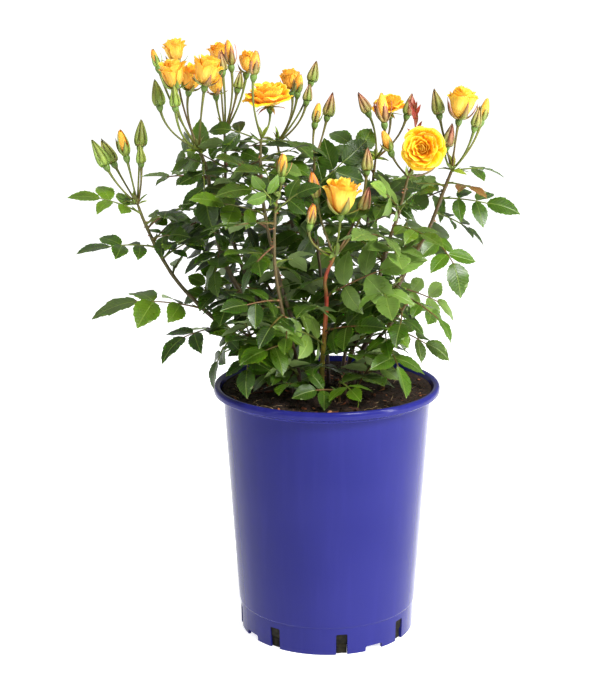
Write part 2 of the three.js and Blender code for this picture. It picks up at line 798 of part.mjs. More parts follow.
// The calyx: a hip that widens from the stalk, and the sepals that stand out from its neck
function calyx(flower) {
  const form = sepalForms[flower.kind];
  const points = [aroundAxis(flower, -hipIntoStalk, 0, 0), aroundAxis(flower, hipHeight, 0, 0)];
  const [bottom, top] = [0, 1];
  const add = (height, radius, angle) => points.push(aroundAxis(flower, height, radius, angle)) - 1;
  const step = 360 / sepalCount;
  const angles = Array.from({ length: sepalCount }, (_, k) => calyxTurn + step * k);
  const hip = angles.map((angle) => add(hipWidest, hipRadius, angle));
  const neck = angles.map((angle) => add(...calyxNeck, angle));
  const faces = [];
  angles.forEach((angle, k) => {
    const next = (k + 1) % sepalCount;
    const middleAngle = angle + step / 2;
    const [from, to] = [neck[k], neck[next]];
    faces.push([bottom, hip[next], hip[k]], [hip[k], hip[next], to], [hip[k], to, from]);
    const size = form.middle ? flower.size : 1;
    const tip = add(form.tip[0] * size, form.tip[1] * size, middleAngle);
    if (!form.middle) {
      faces.push([from, to, tip], [top, from, tip], [top, tip, to]);
      return;
    }
    const [height, radius] = form.middle.map((value) => value * size);
    const left = add(height, radius, middleAngle - form.half);
    const right = add(height, radius, middleAngle + form.half);
    const outer = add(height, radius + sepalThickness / 2, middleAngle);
    const inner = add(height, radius - sepalThickness / 2, middleAngle);
    faces.push([from, to, outer], [from, outer, left], [to, right, outer]);
    faces.push([left, outer, tip], [outer, right, tip]);
    faces.push([from, left, inner], [left, tip, inner], [tip, right, inner], [right, to, inner]);
    faces.push([top, from, inner], [top, inner, to]);
  });
  return indexedGeometry(points, faces);
}

// The green parts of a flower: its calyx, or a whole closed bud
function greenPart(flower) {
  if (flower.kind !== 'closed') {
    return calyx(flower);
  }
  const length = nominalBloom * flower.size;
  const width = Math.min(closedBud.width * length, closedBud.most);
  const profile = [[-hipIntoStalk, 0], closedBud.neck, [closedBud.widest * length, width],
    [closedBud.narrow * length, width / 2], [length, 0]];
  return turned(flower.foot, flower.axis, profile, sepalCount);
}

// A bloom: its whorls of petals run up to their rims and down again into the next fold inside
function bloomGeometry(flower) {
  const start = hipHeight + clearance;
  const corners = petalsInRing * cornersInPetal;
  const points = [aroundAxis(flower, start, 0, 0)];
  const faces = [];
  const rings = bloomForms[flower.kind];
  rings.forEach(([height, radius, drop, lap, turn]) => {
    for (let k = 0; k < corners; k += 1) {
      const place = (k + turn) % cornersInPetal;
      const level = height - (place === 0 ? drop : 0);
      const reach = radius * (1 + lap * (place - 1));
      const lift = start + level * flower.size;
      points.push(aroundAxis(flower, lift, reach * flower.size, (360 * k) / corners));
    }
  });
  const heart = points.push(aroundAxis(flower, start + bloomHeart[flower.kind] * flower.size, 0, 0)) - 1;
  for (let k = 0; k < corners; k += 1) {
    const next = (k + 1) % corners;
    faces.push([0, 1 + next, 1 + k]);
    for (let ring = 0; ring < rings.length - 1; ring += 1) {
      const [a, b] = [1 + ring * corners + k, 1 + ring * corners + next];
      faces.push([a, b, b + corners], [a, b + corners, a + corners]);
    }
    faces.push([heart - corners + k, heart - corners + next, heart]);
  }
  return indexedGeometry(points, faces);
}

// The petals of one flower: a bloom, or the pointed roll of petals in an opening bud
function petalGeometry(flower) {
  if (flower.kind !== 'bud') {
    return bloomGeometry(flower);
  }
  const start = flower.foot.clone().addScaledVector(flower.axis, hipHeight + clearance);
  const length = nominalBloom * flower.size;
  const widest = [petalRoll.widest * length, petalRoll.radius * flower.size];
  const profile = [[petalRoll.foot, 0], widest, [length - petalRoll.back, 0]];
  return turned(start, flower.axis, profile, petalRoll.sides);
}

function flowerOf(entry) {
  const [foot, tip] = [vector(entry[2]), vector(entry[3])];
  return { kind: entry[0], foot, axis: flowerAxis(entry), size: tip.distanceTo(foot) / nominalBloom };
}

// Pot and soil

// Radius of the pot's outer wall at a height
function outerRadius(height) {
  return baseRadius + ((bodyTopRadius - baseRadius) * height) / (potHeight - rimDepth - shoulderDepth);
}

function potSolid() {
  const bandTop = outerRadius(bandHeight);
  const shoulder = potHeight - rimDepth - shoulderDepth;
  const outline = [
    [0, 0],
    [footRadius, 0],
    [footRadius, floorUnderside],
    [baseRadius - footRingWidth - footRingSlope, floorUnderside],
    [baseRadius - footRingWidth, 0],
    [baseRadius, 0],
    [bandTop - bandStep, bandHeight],
    [bandTop, bandHeight + bandStep],
    [bodyTopRadius, shoulder],
    [rimRadius, potHeight - rimDepth],
    [rimRadius, potHeight - lipBevel[1]],
    [rimRadius - lipBevel[0], potHeight],
    [rimRadius - rimWidth, potHeight - rimDip],
    [bodyTopRadius - wall, shoulder - wall],
    [baseRadius - wall, floorUnderside + wall],
    [0, floorUnderside + wall],
  ];
  let pot = solidOf(turned(new THREE.Vector3(), new THREE.Vector3(0, 0, 1),
    outline.map(([radius, height]) => [height, radius]), potSegments));
  pot = cutWall(pot, slotCount, slotPhase, slotWidth, slotHeight, slotDepth);
  return cutWall(pot, notchCount, notchPhase, notchWidth, notchHeight, notchDepth);
}

// Upright openings with rounded tops, cut through the wall from the ground up
function cutWall(pot, count, phase, width, height, depth) {
  const half = width / 2;
  const corners = [
    [-half, -cutBelow],
    [half, -cutBelow],
    [half, height - cornerRadius],
    [half - cornerRadius, height],
    [-half + cornerRadius, height],
    [-half, height - cornerRadius],
  ];
  const outline = new THREE.Shape(corners.map(([x, y]) => new THREE.Vector2(x, y)));
  let result = pot;
  for (let i = 0; i < count; i += 1) {
    const tool = new THREE.ExtrudeGeometry(outline, { depth: depth + 2 * cutBelow, bevelEnabled: false });
    tool.rotateX(Math.PI / 2);
    tool.translate(0, -(baseRadius - depth), 0);
    tool.rotateZ(radians(phase + (360 * i) / count));
    result = result.subtract(solidOf(tool));
  }
  return result;
}

// Height at which the inside of the pot's wall starts to flare out to the rim
const flareFoot = potHeight - rimDepth - shoulderDepth - wall;

// Radius that the soil may fill inside the flats of the pot's wall
function insideRadius(height) {
  const flare = rimRadius - rimWidth - (bodyTopRadius - wall);
  const radius = height < flareFoot
    ? outerRadius(height) - wall
    : bodyTopRadius - wall + (flare * (height - flareFoot)) / (potHeight - rimDip - flareFoot);
  return radius * Math.cos(Math.PI / potSegments) - clearance;
}

function soilSolid() {
  const low = floorUnderside + wall + clearance;
  const edge = insideRadius(soilTop - soilEdgeDrop) - soilEdgeInset;
  const profile = [[low, 0]];
  for (const height of [low, flareFoot, soilTop - soilEdgeDrop]) {
    profile.push([height, insideRadius(height) - soilEdgeInset]);
  }
  for (const share of soilRings) {
    profile.push([soilTop, edge * share]);
  }
  const geometry = turned(new THREE.Vector3(), new THREE.Vector3(0, 0, 1), profile, soilSegments);
  const position = geometry.attributes.position;
  for (let i = 0; i < position.count; i += 1) {
    if (position.getZ(i) > soilTop - 1) {
      const across = Math.sin(position.getX(i) / soilLumpsAcross[0]);
      const along = Math.cos(position.getY(i) / soilLumpsAcross[1]);
      position.setZ(i, soilTop + soilLump * across * along);
    }
  }
  let soil = solidOf(geometry);
  for (const cane of canes) {
    soil = soil.subtract(solidOf(stem(canePoints(cane), caneRadii(cane, 2 * clearance), caneSides)));
  }
  return soil;
}

function canePoints(cane) {
  const curve = caneCurve(cane);
  return Array.from({ length: caneSteps + 1 }, (_, i) => curve.getPoint(i / caneSteps));
}

function caneRadii(cane, extra) {
  return Array.from({ length: caneSteps + 1 }, (_, i) => caneRadius(cane, i / caneSteps) + extra);
}

// One cane with its leaves, its flower stalks and the green parts of its flowers
function caneSolid(cane, leaves) {
  const solids = [solidOf(stem(canePoints(cane), caneRadii(cane, 0), caneSides))];
  for (const entry of cane.flowers) {
    const points = stalkPoints(cane, entry);
    solids.push(solidOf(stem(points, points.map(() => stalkRadius), stalkSides)));
    solids.push(solidOf(greenPart(flowerOf(entry))));
  }
  for (const leaf of leaves) {
    solids.push(solidOf(leafGeometry(leaf)));
  }
  return joined(solids);
}

const group = new THREE.Group();

function addNode(name, solid, material) {
  const mesh = new THREE.Mesh(geometryOf(solid), material);
  mesh.name = name;
  group.add(mesh);
}

addNode('pot', potSolid(), potMaterial);
addNode('soil', soilSolid(), soilMaterial);
const leaves = growLeaves();
canes.forEach((cane, number) => {
  addNode(`cane_${cane.name}`, caneSolid(cane, leaves.filter((leaf) => leaf.cane === number)), leafMaterial);
  cane.flowers.forEach((entry, i) => {
    if (entry[0] !== 'closed') {
      addNode(`${entry[0]}_${cane.name}_${i + 1}`, solidOf(petalGeometry(flowerOf(entry))), petalMaterial);
    }
  });
});

export default group;
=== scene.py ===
# The looks of a potted floribunda rose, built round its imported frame.
# Sizes are in millimetres until a mesh is made. +Z is up, the front is -Y,
# and the origin is the middle of the foot that the pot stands on.

import json
import math

import bpy
import numpy as np
from mathutils import Matrix, Vector

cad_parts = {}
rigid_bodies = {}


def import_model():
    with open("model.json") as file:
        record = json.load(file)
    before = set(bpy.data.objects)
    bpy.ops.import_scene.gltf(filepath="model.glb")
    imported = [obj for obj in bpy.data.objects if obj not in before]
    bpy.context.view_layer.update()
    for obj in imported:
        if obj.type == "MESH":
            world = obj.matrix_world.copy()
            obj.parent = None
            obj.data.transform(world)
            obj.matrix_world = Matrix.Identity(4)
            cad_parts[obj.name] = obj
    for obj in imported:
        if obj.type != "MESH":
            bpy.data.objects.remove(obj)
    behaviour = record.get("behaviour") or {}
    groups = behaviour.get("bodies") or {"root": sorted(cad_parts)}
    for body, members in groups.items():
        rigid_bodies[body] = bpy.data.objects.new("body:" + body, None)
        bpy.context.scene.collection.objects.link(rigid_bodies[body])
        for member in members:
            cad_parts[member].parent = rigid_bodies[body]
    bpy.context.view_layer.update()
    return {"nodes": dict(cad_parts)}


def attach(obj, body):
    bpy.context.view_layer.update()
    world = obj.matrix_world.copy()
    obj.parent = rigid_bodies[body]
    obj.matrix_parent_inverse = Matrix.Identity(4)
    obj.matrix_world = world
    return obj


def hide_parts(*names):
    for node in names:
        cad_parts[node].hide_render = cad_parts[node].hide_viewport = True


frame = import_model()
print("frame loaded:", len(frame["nodes"]), "nodes")

mm = 0.001


def screenColour(red, green, blue):
    # a colour as a screen shows it, 0 to 255, turned to the light that Blender counts in
    def light(value):
        value /= 255
        return value / 12.92 if value <= 0.04045 else ((value + 0.055) / 1.055) ** 2.4
    return light(red), light(green), light(blue), 1.0


def vec(*values):
    return np.array(values, float)


def unit(direction):
    return direction / np.linalg.norm(direction)


def blend(first, second, share):
    return first + (second - first) * share


def around(count):
    # each place on a closed ring, with the place after it
    return [(index, (index + 1) % count) for index in range(count)]


def sleeve(first, count):
    # the faces between a ring of points and the next one
    return [(first + a, first + b, first + count + b, first + count + a) for a, b in around(count)]


def circle(radius, height, segments):
    turns = np.linspace(0, 2 * math.pi, segments, endpoint=False)
    return [(radius * math.cos(turn), radius * math.sin(turn), height) for turn in turns]


# Nodes, for geometry and for materials alike

def addNode(tree, kind, sockets=None, **settings):
    made = tree.nodes.new(kind)
    for name, value in settings.items():
        setattr(made, name, value)
    for key, value in (sockets or {}).items():
        for one in value if isinstance(value, list) else [value]:
            if isinstance(one, bpy.types.NodeSocket):
                tree.links.new(one, made.inputs[key])
            else:
                made.inputs[key].default_value = one
    return made


def nodeOut(tree, kind, sockets=None, **settings):
    return addNode(tree, kind, sockets, **settings).outputs[0]


def maths(tree, operation, first, second=0.0, third=0.0):
    return nodeOut(tree, "ShaderNodeMath", {0: first, 1: second, 2: third}, operation=operation)


def compared(tree, operation, first, second):
    return nodeOut(tree, "FunctionNodeCompare", {0: first, 1: second}, operation=operation)


def parts(tree, vector):
    return addNode(tree, "ShaderNodeSeparateXYZ", {0: vector}).outputs


def newTree(name, inputs):
    # a Geometry Nodes tree with named inputs: returns it, its inputs by name and its output node
    tree = bpy.data.node_groups.new(name, "GeometryNodeTree")
    tree.interface.new_socket(name="Geometry", in_out="INPUT", socket_type="NodeSocketGeometry")
    for label, kind in inputs.items():
        tree.interface.new_socket(name=label, in_out="INPUT", socket_type="NodeSocket" + kind)
    tree.interface.new_socket(name="Geometry", in_out="OUTPUT", socket_type="NodeSocketGeometry")
    entry = tree.nodes.new("NodeGroupInput")
    return tree, entry.outputs, tree.nodes.new("NodeGroupOutput")


def named(tree, name, kind):
    found = addNode(tree, "GeometryNodeInputNamedAttribute", {"Name": name}, data_type=kind)
    return found.outputs["Attribute"]


def chance(tree, seed, kind="FLOAT", low=0.0, high=1.0):
    # a random value for each point: numbers, whole numbers or vectors
    first, output = {"FLOAT_VECTOR": (0, 0), "FLOAT": (2, 1), "INT": (4, 2)}[kind]
    made = addNode(tree, "FunctionNodeRandomValue", {first: low, first + 1: high, "Seed": seed}, data_type=kind)
    return made.outputs[output]


def asRotation(tree, angles):
    return nodeOut(tree, "FunctionNodeEulerToRotation", {0: angles})


def shapesIn(tree, collection):
    return nodeOut(tree, "GeometryNodeCollectionInfo", {
        "Collection": collection, "Separate Children": True, "Reset Children": True})


def realized(tree, geometry):
    return nodeOut(tree, "GeometryNodeRealizeInstances", {0: geometry})


def painted(tree, geometry, finish, selection=True):
    return nodeOut(tree, "GeometryNodeSetMaterial", {
        "Geometry": geometry, "Selection": selection, "Material": finish})


def grown(piece, tree, values):
    # puts a tree on a piece, and turns what it makes into the piece's own plain mesh
    modifier = piece.modifiers.new(tree.name, "NODES")
    modifier.node_group = tree
    for item in tree.interface.items_tree:
        if item.in_out == "INPUT" and item.name in values:
            modifier[item.identifier] = values[item.name]
    depsgraph = bpy.context.evaluated_depsgraph_get()
    plain = bpy.data.meshes.new_from_object(
        piece.evaluated_get(depsgraph), preserve_all_data_layers=True, depsgraph=depsgraph)
    piece.modifiers.clear()
    plain.name = piece.name
    old = piece.data
    piece.data = plain
    bpy.data.meshes.remove(old)


def newPiece(name, mesh, material=None):
    piece = bpy.data.objects.new(name, mesh)
    bpy.context.scene.collection.objects.link(piece)
    if material:
        mesh.materials.append(material)
    return piece


def newMesh(name, points, faces=(), edges=(), smooth=True):
    # points come in millimetres
    mesh = bpy.data.meshes.new(name)
    mesh.from_pydata([tuple(point) for point in np.asarray(points, float) * mm], list(edges), list(faces))
    if smooth:
        mesh.shade_smooth()
    mesh.update()
    return mesh


def setValues(mesh, name, kind, domain, values):
    made = mesh.attributes.new(name, kind, domain)
    key = {"FLOAT": "value", "FLOAT_VECTOR": "vector", "FLOAT_COLOR": "color"}[kind]
    made.data.foreach_set(key, np.asarray(values, float).ravel())


def finishPiece(piece, node):
    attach(piece, "root")
    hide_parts(node)


# Parts of materials

def newMaterial(name, settings):
    # settings are set on the shader's own sockets
    material = bpy.data.materials.new(name)
    material.use_nodes = True
    tree = material.node_tree
    shader = tree.nodes["Principled BSDF"]
    for label, value in settings.items():
        shader.inputs[label].default_value = value
    return material, tree, shader


def place(tree):
    return addNode(tree, "ShaderNodeTexCoord").outputs["Object"]


def stretched(tree, vector, scale):
    return nodeOut(tree, "ShaderNodeMapping", {"Vector": vector, "Scale": scale})


def noise(tree, vector, scale, detail=3.0, roughness=0.55):
    return nodeOut(tree, "ShaderNodeTexNoise", {
        "Vector": vector, "Scale": scale, "Detail": detail, "Roughness": roughness})


def ramp(tree, share, stops):
    # each stop is a place with a grey from 0 to 1, or with the three parts of a screen colour
    made = addNode(tree, "ShaderNodeValToRGB", {0: share})
    elements = made.color_ramp.elements
    while len(elements) < len(stops):
        elements.new(0.5)
    for element, (position, tone) in zip(elements, stops):
        element.position = position
        element.color = screenColour(*tone) if isinstance(tone, tuple) else (tone, tone, tone, 1)
    return made.outputs[0]


def mixed(tree, share, first, second, way="MIX"):
    first, second = [screenColour(*tone) if isinstance(tone, tuple) else tone for tone in (first, second)]
    made = addNode(tree, "ShaderNodeMix", {0: share, 6: first, 7: second}, data_type="RGBA", blend_type=way)
    return made.outputs[2]


def rescaled(tree, value, low, high, newLow=0.0, newHigh=1.0):
    return nodeOut(tree, "ShaderNodeMapRange", {0: value, 1: low, 2: high, 3: newLow, 4: newHigh})


def attribute(tree, name, output="Fac"):
    return addNode(tree, "ShaderNodeAttribute", attribute_name=name).outputs[output]


def bump(tree, height, strength, distance, below=None):
    sockets = {"Height": height, "Strength": strength, "Distance": distance}
    if below is not None:
        sockets["Normal"] = below
    return nodeOut(tree, "ShaderNodeBump", sockets)


def join(tree, shader, **links):
    for label, socket in links.items():
        tree.links.new(socket, shader.inputs[label.replace("_", " ")])


# The camera, the lights and the floor

cameraSetup = {
    "place": (0, -1358.5, 600.3),
    "pitch": 13.48,          # degrees down
    "yaw": 0.965,            # degrees to the left
    "roll": 0.29,            # degrees round its line of sight
    "focalPixels": 1515.2,   # for a picture 683 pixels tall
    "picturePixels": 683,
    "sensor": 36,
    "farthest": 200,         # metres
}

lightSetup = {
    # how bright the white studio is in front of the plant, behind it and overhead, and as the camera sees it
    "front": 0.15, "behind": 0.34, "overhead": 0.2, "backdrop": 1.05,
    "frontToBehind": (-0.35, 0.55), "overheadFrom": 0.2,
    "softBoxes": [
        # place, what it looks at, width, height, power
        ((860, -1320, 1850), (0, 0, 330), 650, 650, 62),
        ((1500, -700, 800), (0, 0, 200), 260, 1500, 32),
        ((-1300, -1000, 800), (0, 0, 250), 120, 1400, 2),
    ],
    "floorRadius": 60000, "floorLevel": -0.2, "floorSegments": 96, "floorGlow": 0.8,
}


def makeCamera():
    lens = bpy.data.cameras.new("camera")
    lens.sensor_fit = "VERTICAL"
    lens.sensor_height = cameraSetup["sensor"]
    lens.lens = cameraSetup["focalPixels"] * cameraSetup["sensor"] / cameraSetup["picturePixels"]
    lens.clip_end = cameraSetup["farthest"]
    camera = bpy.data.objects.new("camera", lens)
    camera.location = vec(*cameraSetup["place"]) * mm
    turns = (90 - cameraSetup["pitch"], cameraSetup["roll"], cameraSetup["yaw"])
    camera.rotation_euler = [math.radians(turn) for turn in turns]
    bpy.context.scene.collection.objects.link(camera)
    bpy.context.scene.camera = camera


def makeLights():
    for number, (spot, target, width, height, power) in enumerate(lightSetup["softBoxes"]):
        light = bpy.data.lights.new(f"softBox{number}", "AREA")
        light.shape = "RECTANGLE"
        light.size, light.size_y, light.energy = width * mm, height * mm, power
        lamp = bpy.data.objects.new(light.name, light)
        lamp.location = vec(*spot) * mm
        aim = Vector(target) - Vector(spot)
        lamp.rotation_euler = aim.to_track_quat("-Z", "Y").to_euler()
        bpy.context.scene.collection.objects.link(lamp)
    world = bpy.data.worlds.new("studio")
    world.use_nodes = True
    tree = world.node_tree
    way = parts(tree, addNode(tree, "ShaderNodeTexCoord").outputs["Generated"])
    depth = rescaled(tree, way[1], *lightSetup["frontToBehind"], lightSetup["front"], lightSetup["behind"])
    above = rescaled(tree, way[2], lightSetup["overheadFrom"], 1, 0, lightSetup["overhead"])
    glow = maths(tree, "ADD", depth, above)
    seen = addNode(tree, "ShaderNodeLightPath").outputs["Is Camera Ray"]
    sky = tree.nodes["Background"]
    sky.inputs["Color"].default_value = (1, 1, 1, 1)
    backdrop = maths(tree, "MULTIPLY", seen, lightSetup["backdrop"])
    tree.links.new(maths(tree, "MAXIMUM", glow, backdrop), sky.inputs["Strength"])
    bpy.context.scene.world = world
    bpy.context.scene.view_settings.view_transform = "Standard"


def makeFloor():
    material, tree, shader = newMaterial("floorPaper", {
        "Roughness": 0.9, "Emission Color": (1, 1, 1, 1), "Emission Strength": lightSetup["floorGlow"]})
    grain = noise(tree, place(tree), 18, 4)
    join(tree, shader, Base_Color=ramp(tree, grain, [(0.3, 0.9), (0.7, 0.93)]))
    ring = circle(lightSetup["floorRadius"], lightSetup["floorLevel"], lightSetup["floorSegments"])
    floor = newPiece("floor", newMesh("floor", ring, [tuple(range(len(ring)))]), material)


makeCamera()
makeLights()
makeFloor()
print("camera, lights and floor made")


# The pot: a turned shell with slots and notches cut through its foot by a node tree

pot = {
    "height": 236, "rimRadius": 105, "rimDepth": 7, "rimWidth": 6, "rimDip": 1.2,
    "lipTaper": 0.5, "lipFlank": 3.2, "lipShoulder": 1.4, "lipCrest": 0.2, "lipMiddle": 0.6,
    "shoulderDepth": 4, "bodyTopRadius": 96, "baseRadius": 82,
    "bandHeight": 26, "bandStep": 1.2, "wall": 1.8,
    "footRadius": 22, "footRingWidth": 3, "footRingSlope": 1, "floorUnderside": 8.5,
    "segments": 112, "arcSteps": 5,
    "slots": {"count": 8, "width": 10.5, "height": 20, "phase": 9.5, "depth": 12, "corner": 1.5},
    "notches": {"count": 4, "width": 18, "height": 5, "phase": 32, "depth": 6, "corner": 1.5},
    "cutBelow": 2, "cutBeyond": 4, "sharpOver": 32,
}


def outerRadius(height):
    climb = pot["height"] - pot["rimDepth"] - pot["shoulderDepth"]
    return pot["baseRadius"] + (pot["bodyTopRadius"] - pot["baseRadius"]) * height / climb


def roundedOutline(corners, steps):
    # corners are (radius, height, size of the rounding)
    outline = []
    for index, (radius, height, rounding) in enumerate(corners):
        here = vec(radius, height)
        if rounding == 0:
            outline.append(here)
            continue
        before = vec(*corners[index - 1][:2])
        after = vec(*corners[index + 1][:2])
        start = here + unit(before - here) * rounding
        end = here + unit(after - here) * rounding
        for share in np.linspace(0, 1, steps):
            outline.append(blend(blend(start, here, share), blend(here, end, share), share))
    return outline


def potMaterial():
    material, tree, shader = newMaterial("potPlastic", {
        "Roughness": 0.16, "Coat Weight": 0.04, "Coat Roughness": 0.06, "Specular IOR Level": 0.1})
    spot = place(tree)
    cloud = noise(tree, spot, 7, 2)
    streak = noise(tree, stretched(tree, spot, (1, 1, 0.05)), 120, 3)
    tone = ramp(tree, cloud, [(0.3, (28, 30, 99)), (0.7, (37, 38, 108))])
    tone = mixed(tree, rescaled(tree, streak, 0.5, 0.8, 0, 0.1), tone, (60, 58, 146))
    rough = rescaled(tree, noise(tree, spot, 26, 4), 0.3, 0.7, 0.12, 0.22)
    # the moulded wall isn't quite even
    wide = noise(tree, stretched(tree, spot, (1, 1, 0.3)), 22, 2)
    normal = bump(tree, wide, 0.22, 0.0016)
    join(tree, shader, Base_Color=tone, Roughness=rough, Normal=normal)
    return material


def cutterMesh(name, cut):
    # an upright opening with rounded top corners, from below the ground up through the wall
    half, corner, steps = cut["width"] / 2, cut["corner"], pot["arcSteps"]
    outline = [(-half, -pot["cutBelow"]), (half, -pot["cutBelow"])]
    for middle, start in ((half - corner, 0), (corner - half, math.pi / 2)):
        for turn in np.linspace(start, start + math.pi / 2, steps):
            outline.append((middle + corner * math.cos(turn), cut["height"] - corner + corner * math.sin(turn)))
    near = -(pot["baseRadius"] + pot["cutBeyond"])
    far = -(pot["baseRadius"] - cut["depth"])
    count = len(outline)
    points = [(x, y, z) for y in (near, far) for x, z in outline]
    faces = [tuple(range(count)), tuple(reversed(range(count, 2 * count)))]
    for index, after in around(count):
        faces.append((after, index, index + count, after + count))
    return newMesh(name, points, faces, smooth=False)


def cutTree():
    tree, given, out = newTree("potOpenings", {
        "Slot": "Object", "Slot Count": "Int", "Slot Phase": "Float",
        "Notch": "Object", "Notch Count": "Int", "Notch Phase": "Float",
        "Sharp Over": "Float", "Plastic": "Material"})
    body = given["Geometry"]
    for label in ("Slot", "Notch"):
        ring = addNode(tree, "GeometryNodePoints", {"Count": given[label + " Count"]})
        shape = addNode(tree, "GeometryNodeObjectInfo", {"Object": given[label]})
        index = nodeOut(tree, "GeometryNodeInputIndex")
        step = maths(tree, "DIVIDE", 2 * math.pi, given[label + " Count"])
        turn = maths(tree, "MULTIPLY_ADD", index, step, given[label + " Phase"])
        angles = nodeOut(tree, "ShaderNodeCombineXYZ", {"Z": turn})
        cutters = nodeOut(tree, "GeometryNodeInstanceOnPoints", {
            "Points": ring.outputs[0], "Instance": shape.outputs["Geometry"],
            "Rotation": asRotation(tree, angles)})
        body = nodeOut(tree, "GeometryNodeMeshBoolean", {"Mesh 1": body, "Mesh 2": realized(tree, cutters)},
                       operation="DIFFERENCE", solver="EXACT")
    angle = addNode(tree, "GeometryNodeInputMeshEdgeAngle").outputs["Unsigned Angle"]
    sharp = compared(tree, "GREATER_THAN", angle, given["Sharp Over"])
    body = nodeOut(tree, "GeometryNodeSetShadeSmooth", {0: body, "Shade Smooth": True}, domain="FACE")
    body = nodeOut(tree, "GeometryNodeSetShadeSmooth", {
        0: body, "Selection": sharp, "Shade Smooth": False}, domain="EDGE")
    tree.links.new(painted(tree, realized(tree, body), given["Plastic"]), out.inputs[0])
    return tree


def makePot():
    bandTop = outerRadius(pot["bandHeight"])
    shoulder = pot["height"] - pot["rimDepth"] - pot["shoulderDepth"]
    top, rim = pot["height"], pot["rimRadius"]
    corners = [
        (0, 0, 0),
        (pot["footRadius"], 0, 0.8),
        (pot["footRadius"], pot["floorUnderside"], 0.8),
        (pot["baseRadius"] - pot["footRingWidth"] - pot["footRingSlope"], pot["floorUnderside"], 0.8),
        (pot["baseRadius"] - pot["footRingWidth"], 0, 0.5),
        (pot["baseRadius"], 0, 1),
        (bandTop - pot["bandStep"], pot["bandHeight"], 0.4),
        (bandTop, pot["bandHeight"] + pot["bandStep"], 0.7),
        (pot["bodyTopRadius"], shoulder, 1.4),
        (rim - pot["lipTaper"], top - pot["rimDepth"], 0.9),
        (rim, top - pot["lipFlank"], 1.4),
        (rim - pot["lipShoulder"], top - pot["lipCrest"], 1.4),
        (rim - pot["rimWidth"] * pot["lipMiddle"], top, 1.2),
        (rim - pot["rimWidth"], top - pot["rimDip"], 0.9),
        (pot["bodyTopRadius"] - pot["wall"], shoulder - pot["wall"], 1.2),
        (pot["baseRadius"] - pot["wall"], pot["floorUnderside"] + pot["wall"], 1),
        (0, pot["floorUnderside"] + pot["wall"], 0),
    ]
    outline = roundedOutline(corners, pot["arcSteps"])
    segments = pot["segments"]
    points, faces, rings = [], [], []
    for radius, height in outline:
        if radius == 0:
            points.append((0, 0, height))
            rings.append([len(points) - 1] * segments)
            continue
        rings.append(range(len(points), len(points) + segments))
        points += circle(radius, height, segments)
    for low, high in zip(rings, rings[1:]):
        for index, after in around(segments):
            loop = [low[index], low[after], high[after], high[index]]
            faces.append(tuple(dict.fromkeys(loop)))
    values = {"Sharp Over": math.radians(pot["sharpOver"]), "Plastic": potMaterial()}
    for label, cuts in (("Slot", "slots"), ("Notch", "notches")):
        values.update({label: bpy.data.objects.new(cuts, cutterMesh(cuts, pot[cuts])),
                       label + " Count": pot[cuts]["count"], label + " Phase": math.radians(pot[cuts]["phase"])})
    shell = newPiece("potShell", newMesh("potShell", points, faces))
    grown(shell, cutTree(), values)
    for label in ("Slot", "Notch"):
        bpy.data.objects.remove(values[label])
    finishPiece(shell, "pot")
    print("pot made:", len(shell.data.polygons), "faces")


makePot()


# The soil: a lumpy bed, and a node tree that strews crumbs, bark chips and fibres over it

soil = {
    "top": 230, "bottom": 10.6, "edge": 96.9, "edgeDrop": -1.4, "wallSlope": 0.0622,
    "flareFoot": (93.9, 223), "rings": 30, "segments": 90, "lump": 1.6, "lumpsAcross": (9, 11), "grit": 1.1,
    # peat pressed down into the slots of the foot: how near the middle, how far out, half width, lowest, highest
    "plug": (70.6, 79.4, 4.9, 0.8, 11.4), "plugSteps": 5, "plugRough": 0.5,
    # what is strewn on it: how many to a square metre, from how small to how large, how far they tip
    "seed": 7, "clearOfWall": 92, "clearOfFlank": 4, "shapes": 4, "manySmall": 2.2,
    "crumbs": {"density": 66000, "least": 0.8, "most": 3.2, "tip": 3.1},
    "chips": {"density": 5200, "least": 4, "most": 14, "tip": 0.4},
    "fibres": {"density": 3400, "least": 7, "most": 20, "tip": 0.4},
}


def soilHeight(x, y):
    # the same long waves as the solid has, with finer grit on them
    across, along = soil["lumpsAcross"]
    wave = soil["lump"] * np.sin(x / across) * np.cos(y / along)
    grit = np.sin(x / 2.3 + 1.7 * np.sin(y / 3.1)) * np.cos(y / 1.9 + 1.3 * np.sin(x / 2.7))
    fall = np.clip((np.hypot(x, y) - 0.9 * soil["edge"]) / (0.1 * soil["edge"]), 0, 1)
    return soil["top"] + (wave + soil["grit"] * grit) * (1 - fall) - soil["edgeDrop"] * fall


def peatMaterial():
    material, tree, shader = newMaterial("peat", {"Roughness": 0.95, "Specular IOR Level": 0.25})
    spot = place(tree)
    clod = noise(tree, spot, 260, 5, 0.7)
    tone = ramp(tree, clod, [(0.28, (14, 10, 8)), (0.5, (38, 28, 21)),
                             (0.68, (70, 50, 38)), (0.85, (108, 80, 60))])
    tone = mixed(tree, rescaled(tree, attribute(tree, "tone"), 0.85, 1, 0, 0.5), tone, (84, 52, 34))
    # painted shade: darker, with dark olive mottling, towards the foot, where the peat pressed into the slots lies in
    # the pot's shadow
    paintedFootShade = rescaled(tree, parts(tree, spot)[2], 0.02, 0.15, 0.85, 0)
    tone = mixed(tree, paintedFootShade, tone, ramp(tree, clod, [(0.4, (6, 6, 5)), (0.62, (34, 34, 16))]))
    join(tree, shader, Base_Color=tone, Normal=bump(tree, noise(tree, spot, 900, 4, 0.7), 0.7, 0.0006))
    return material


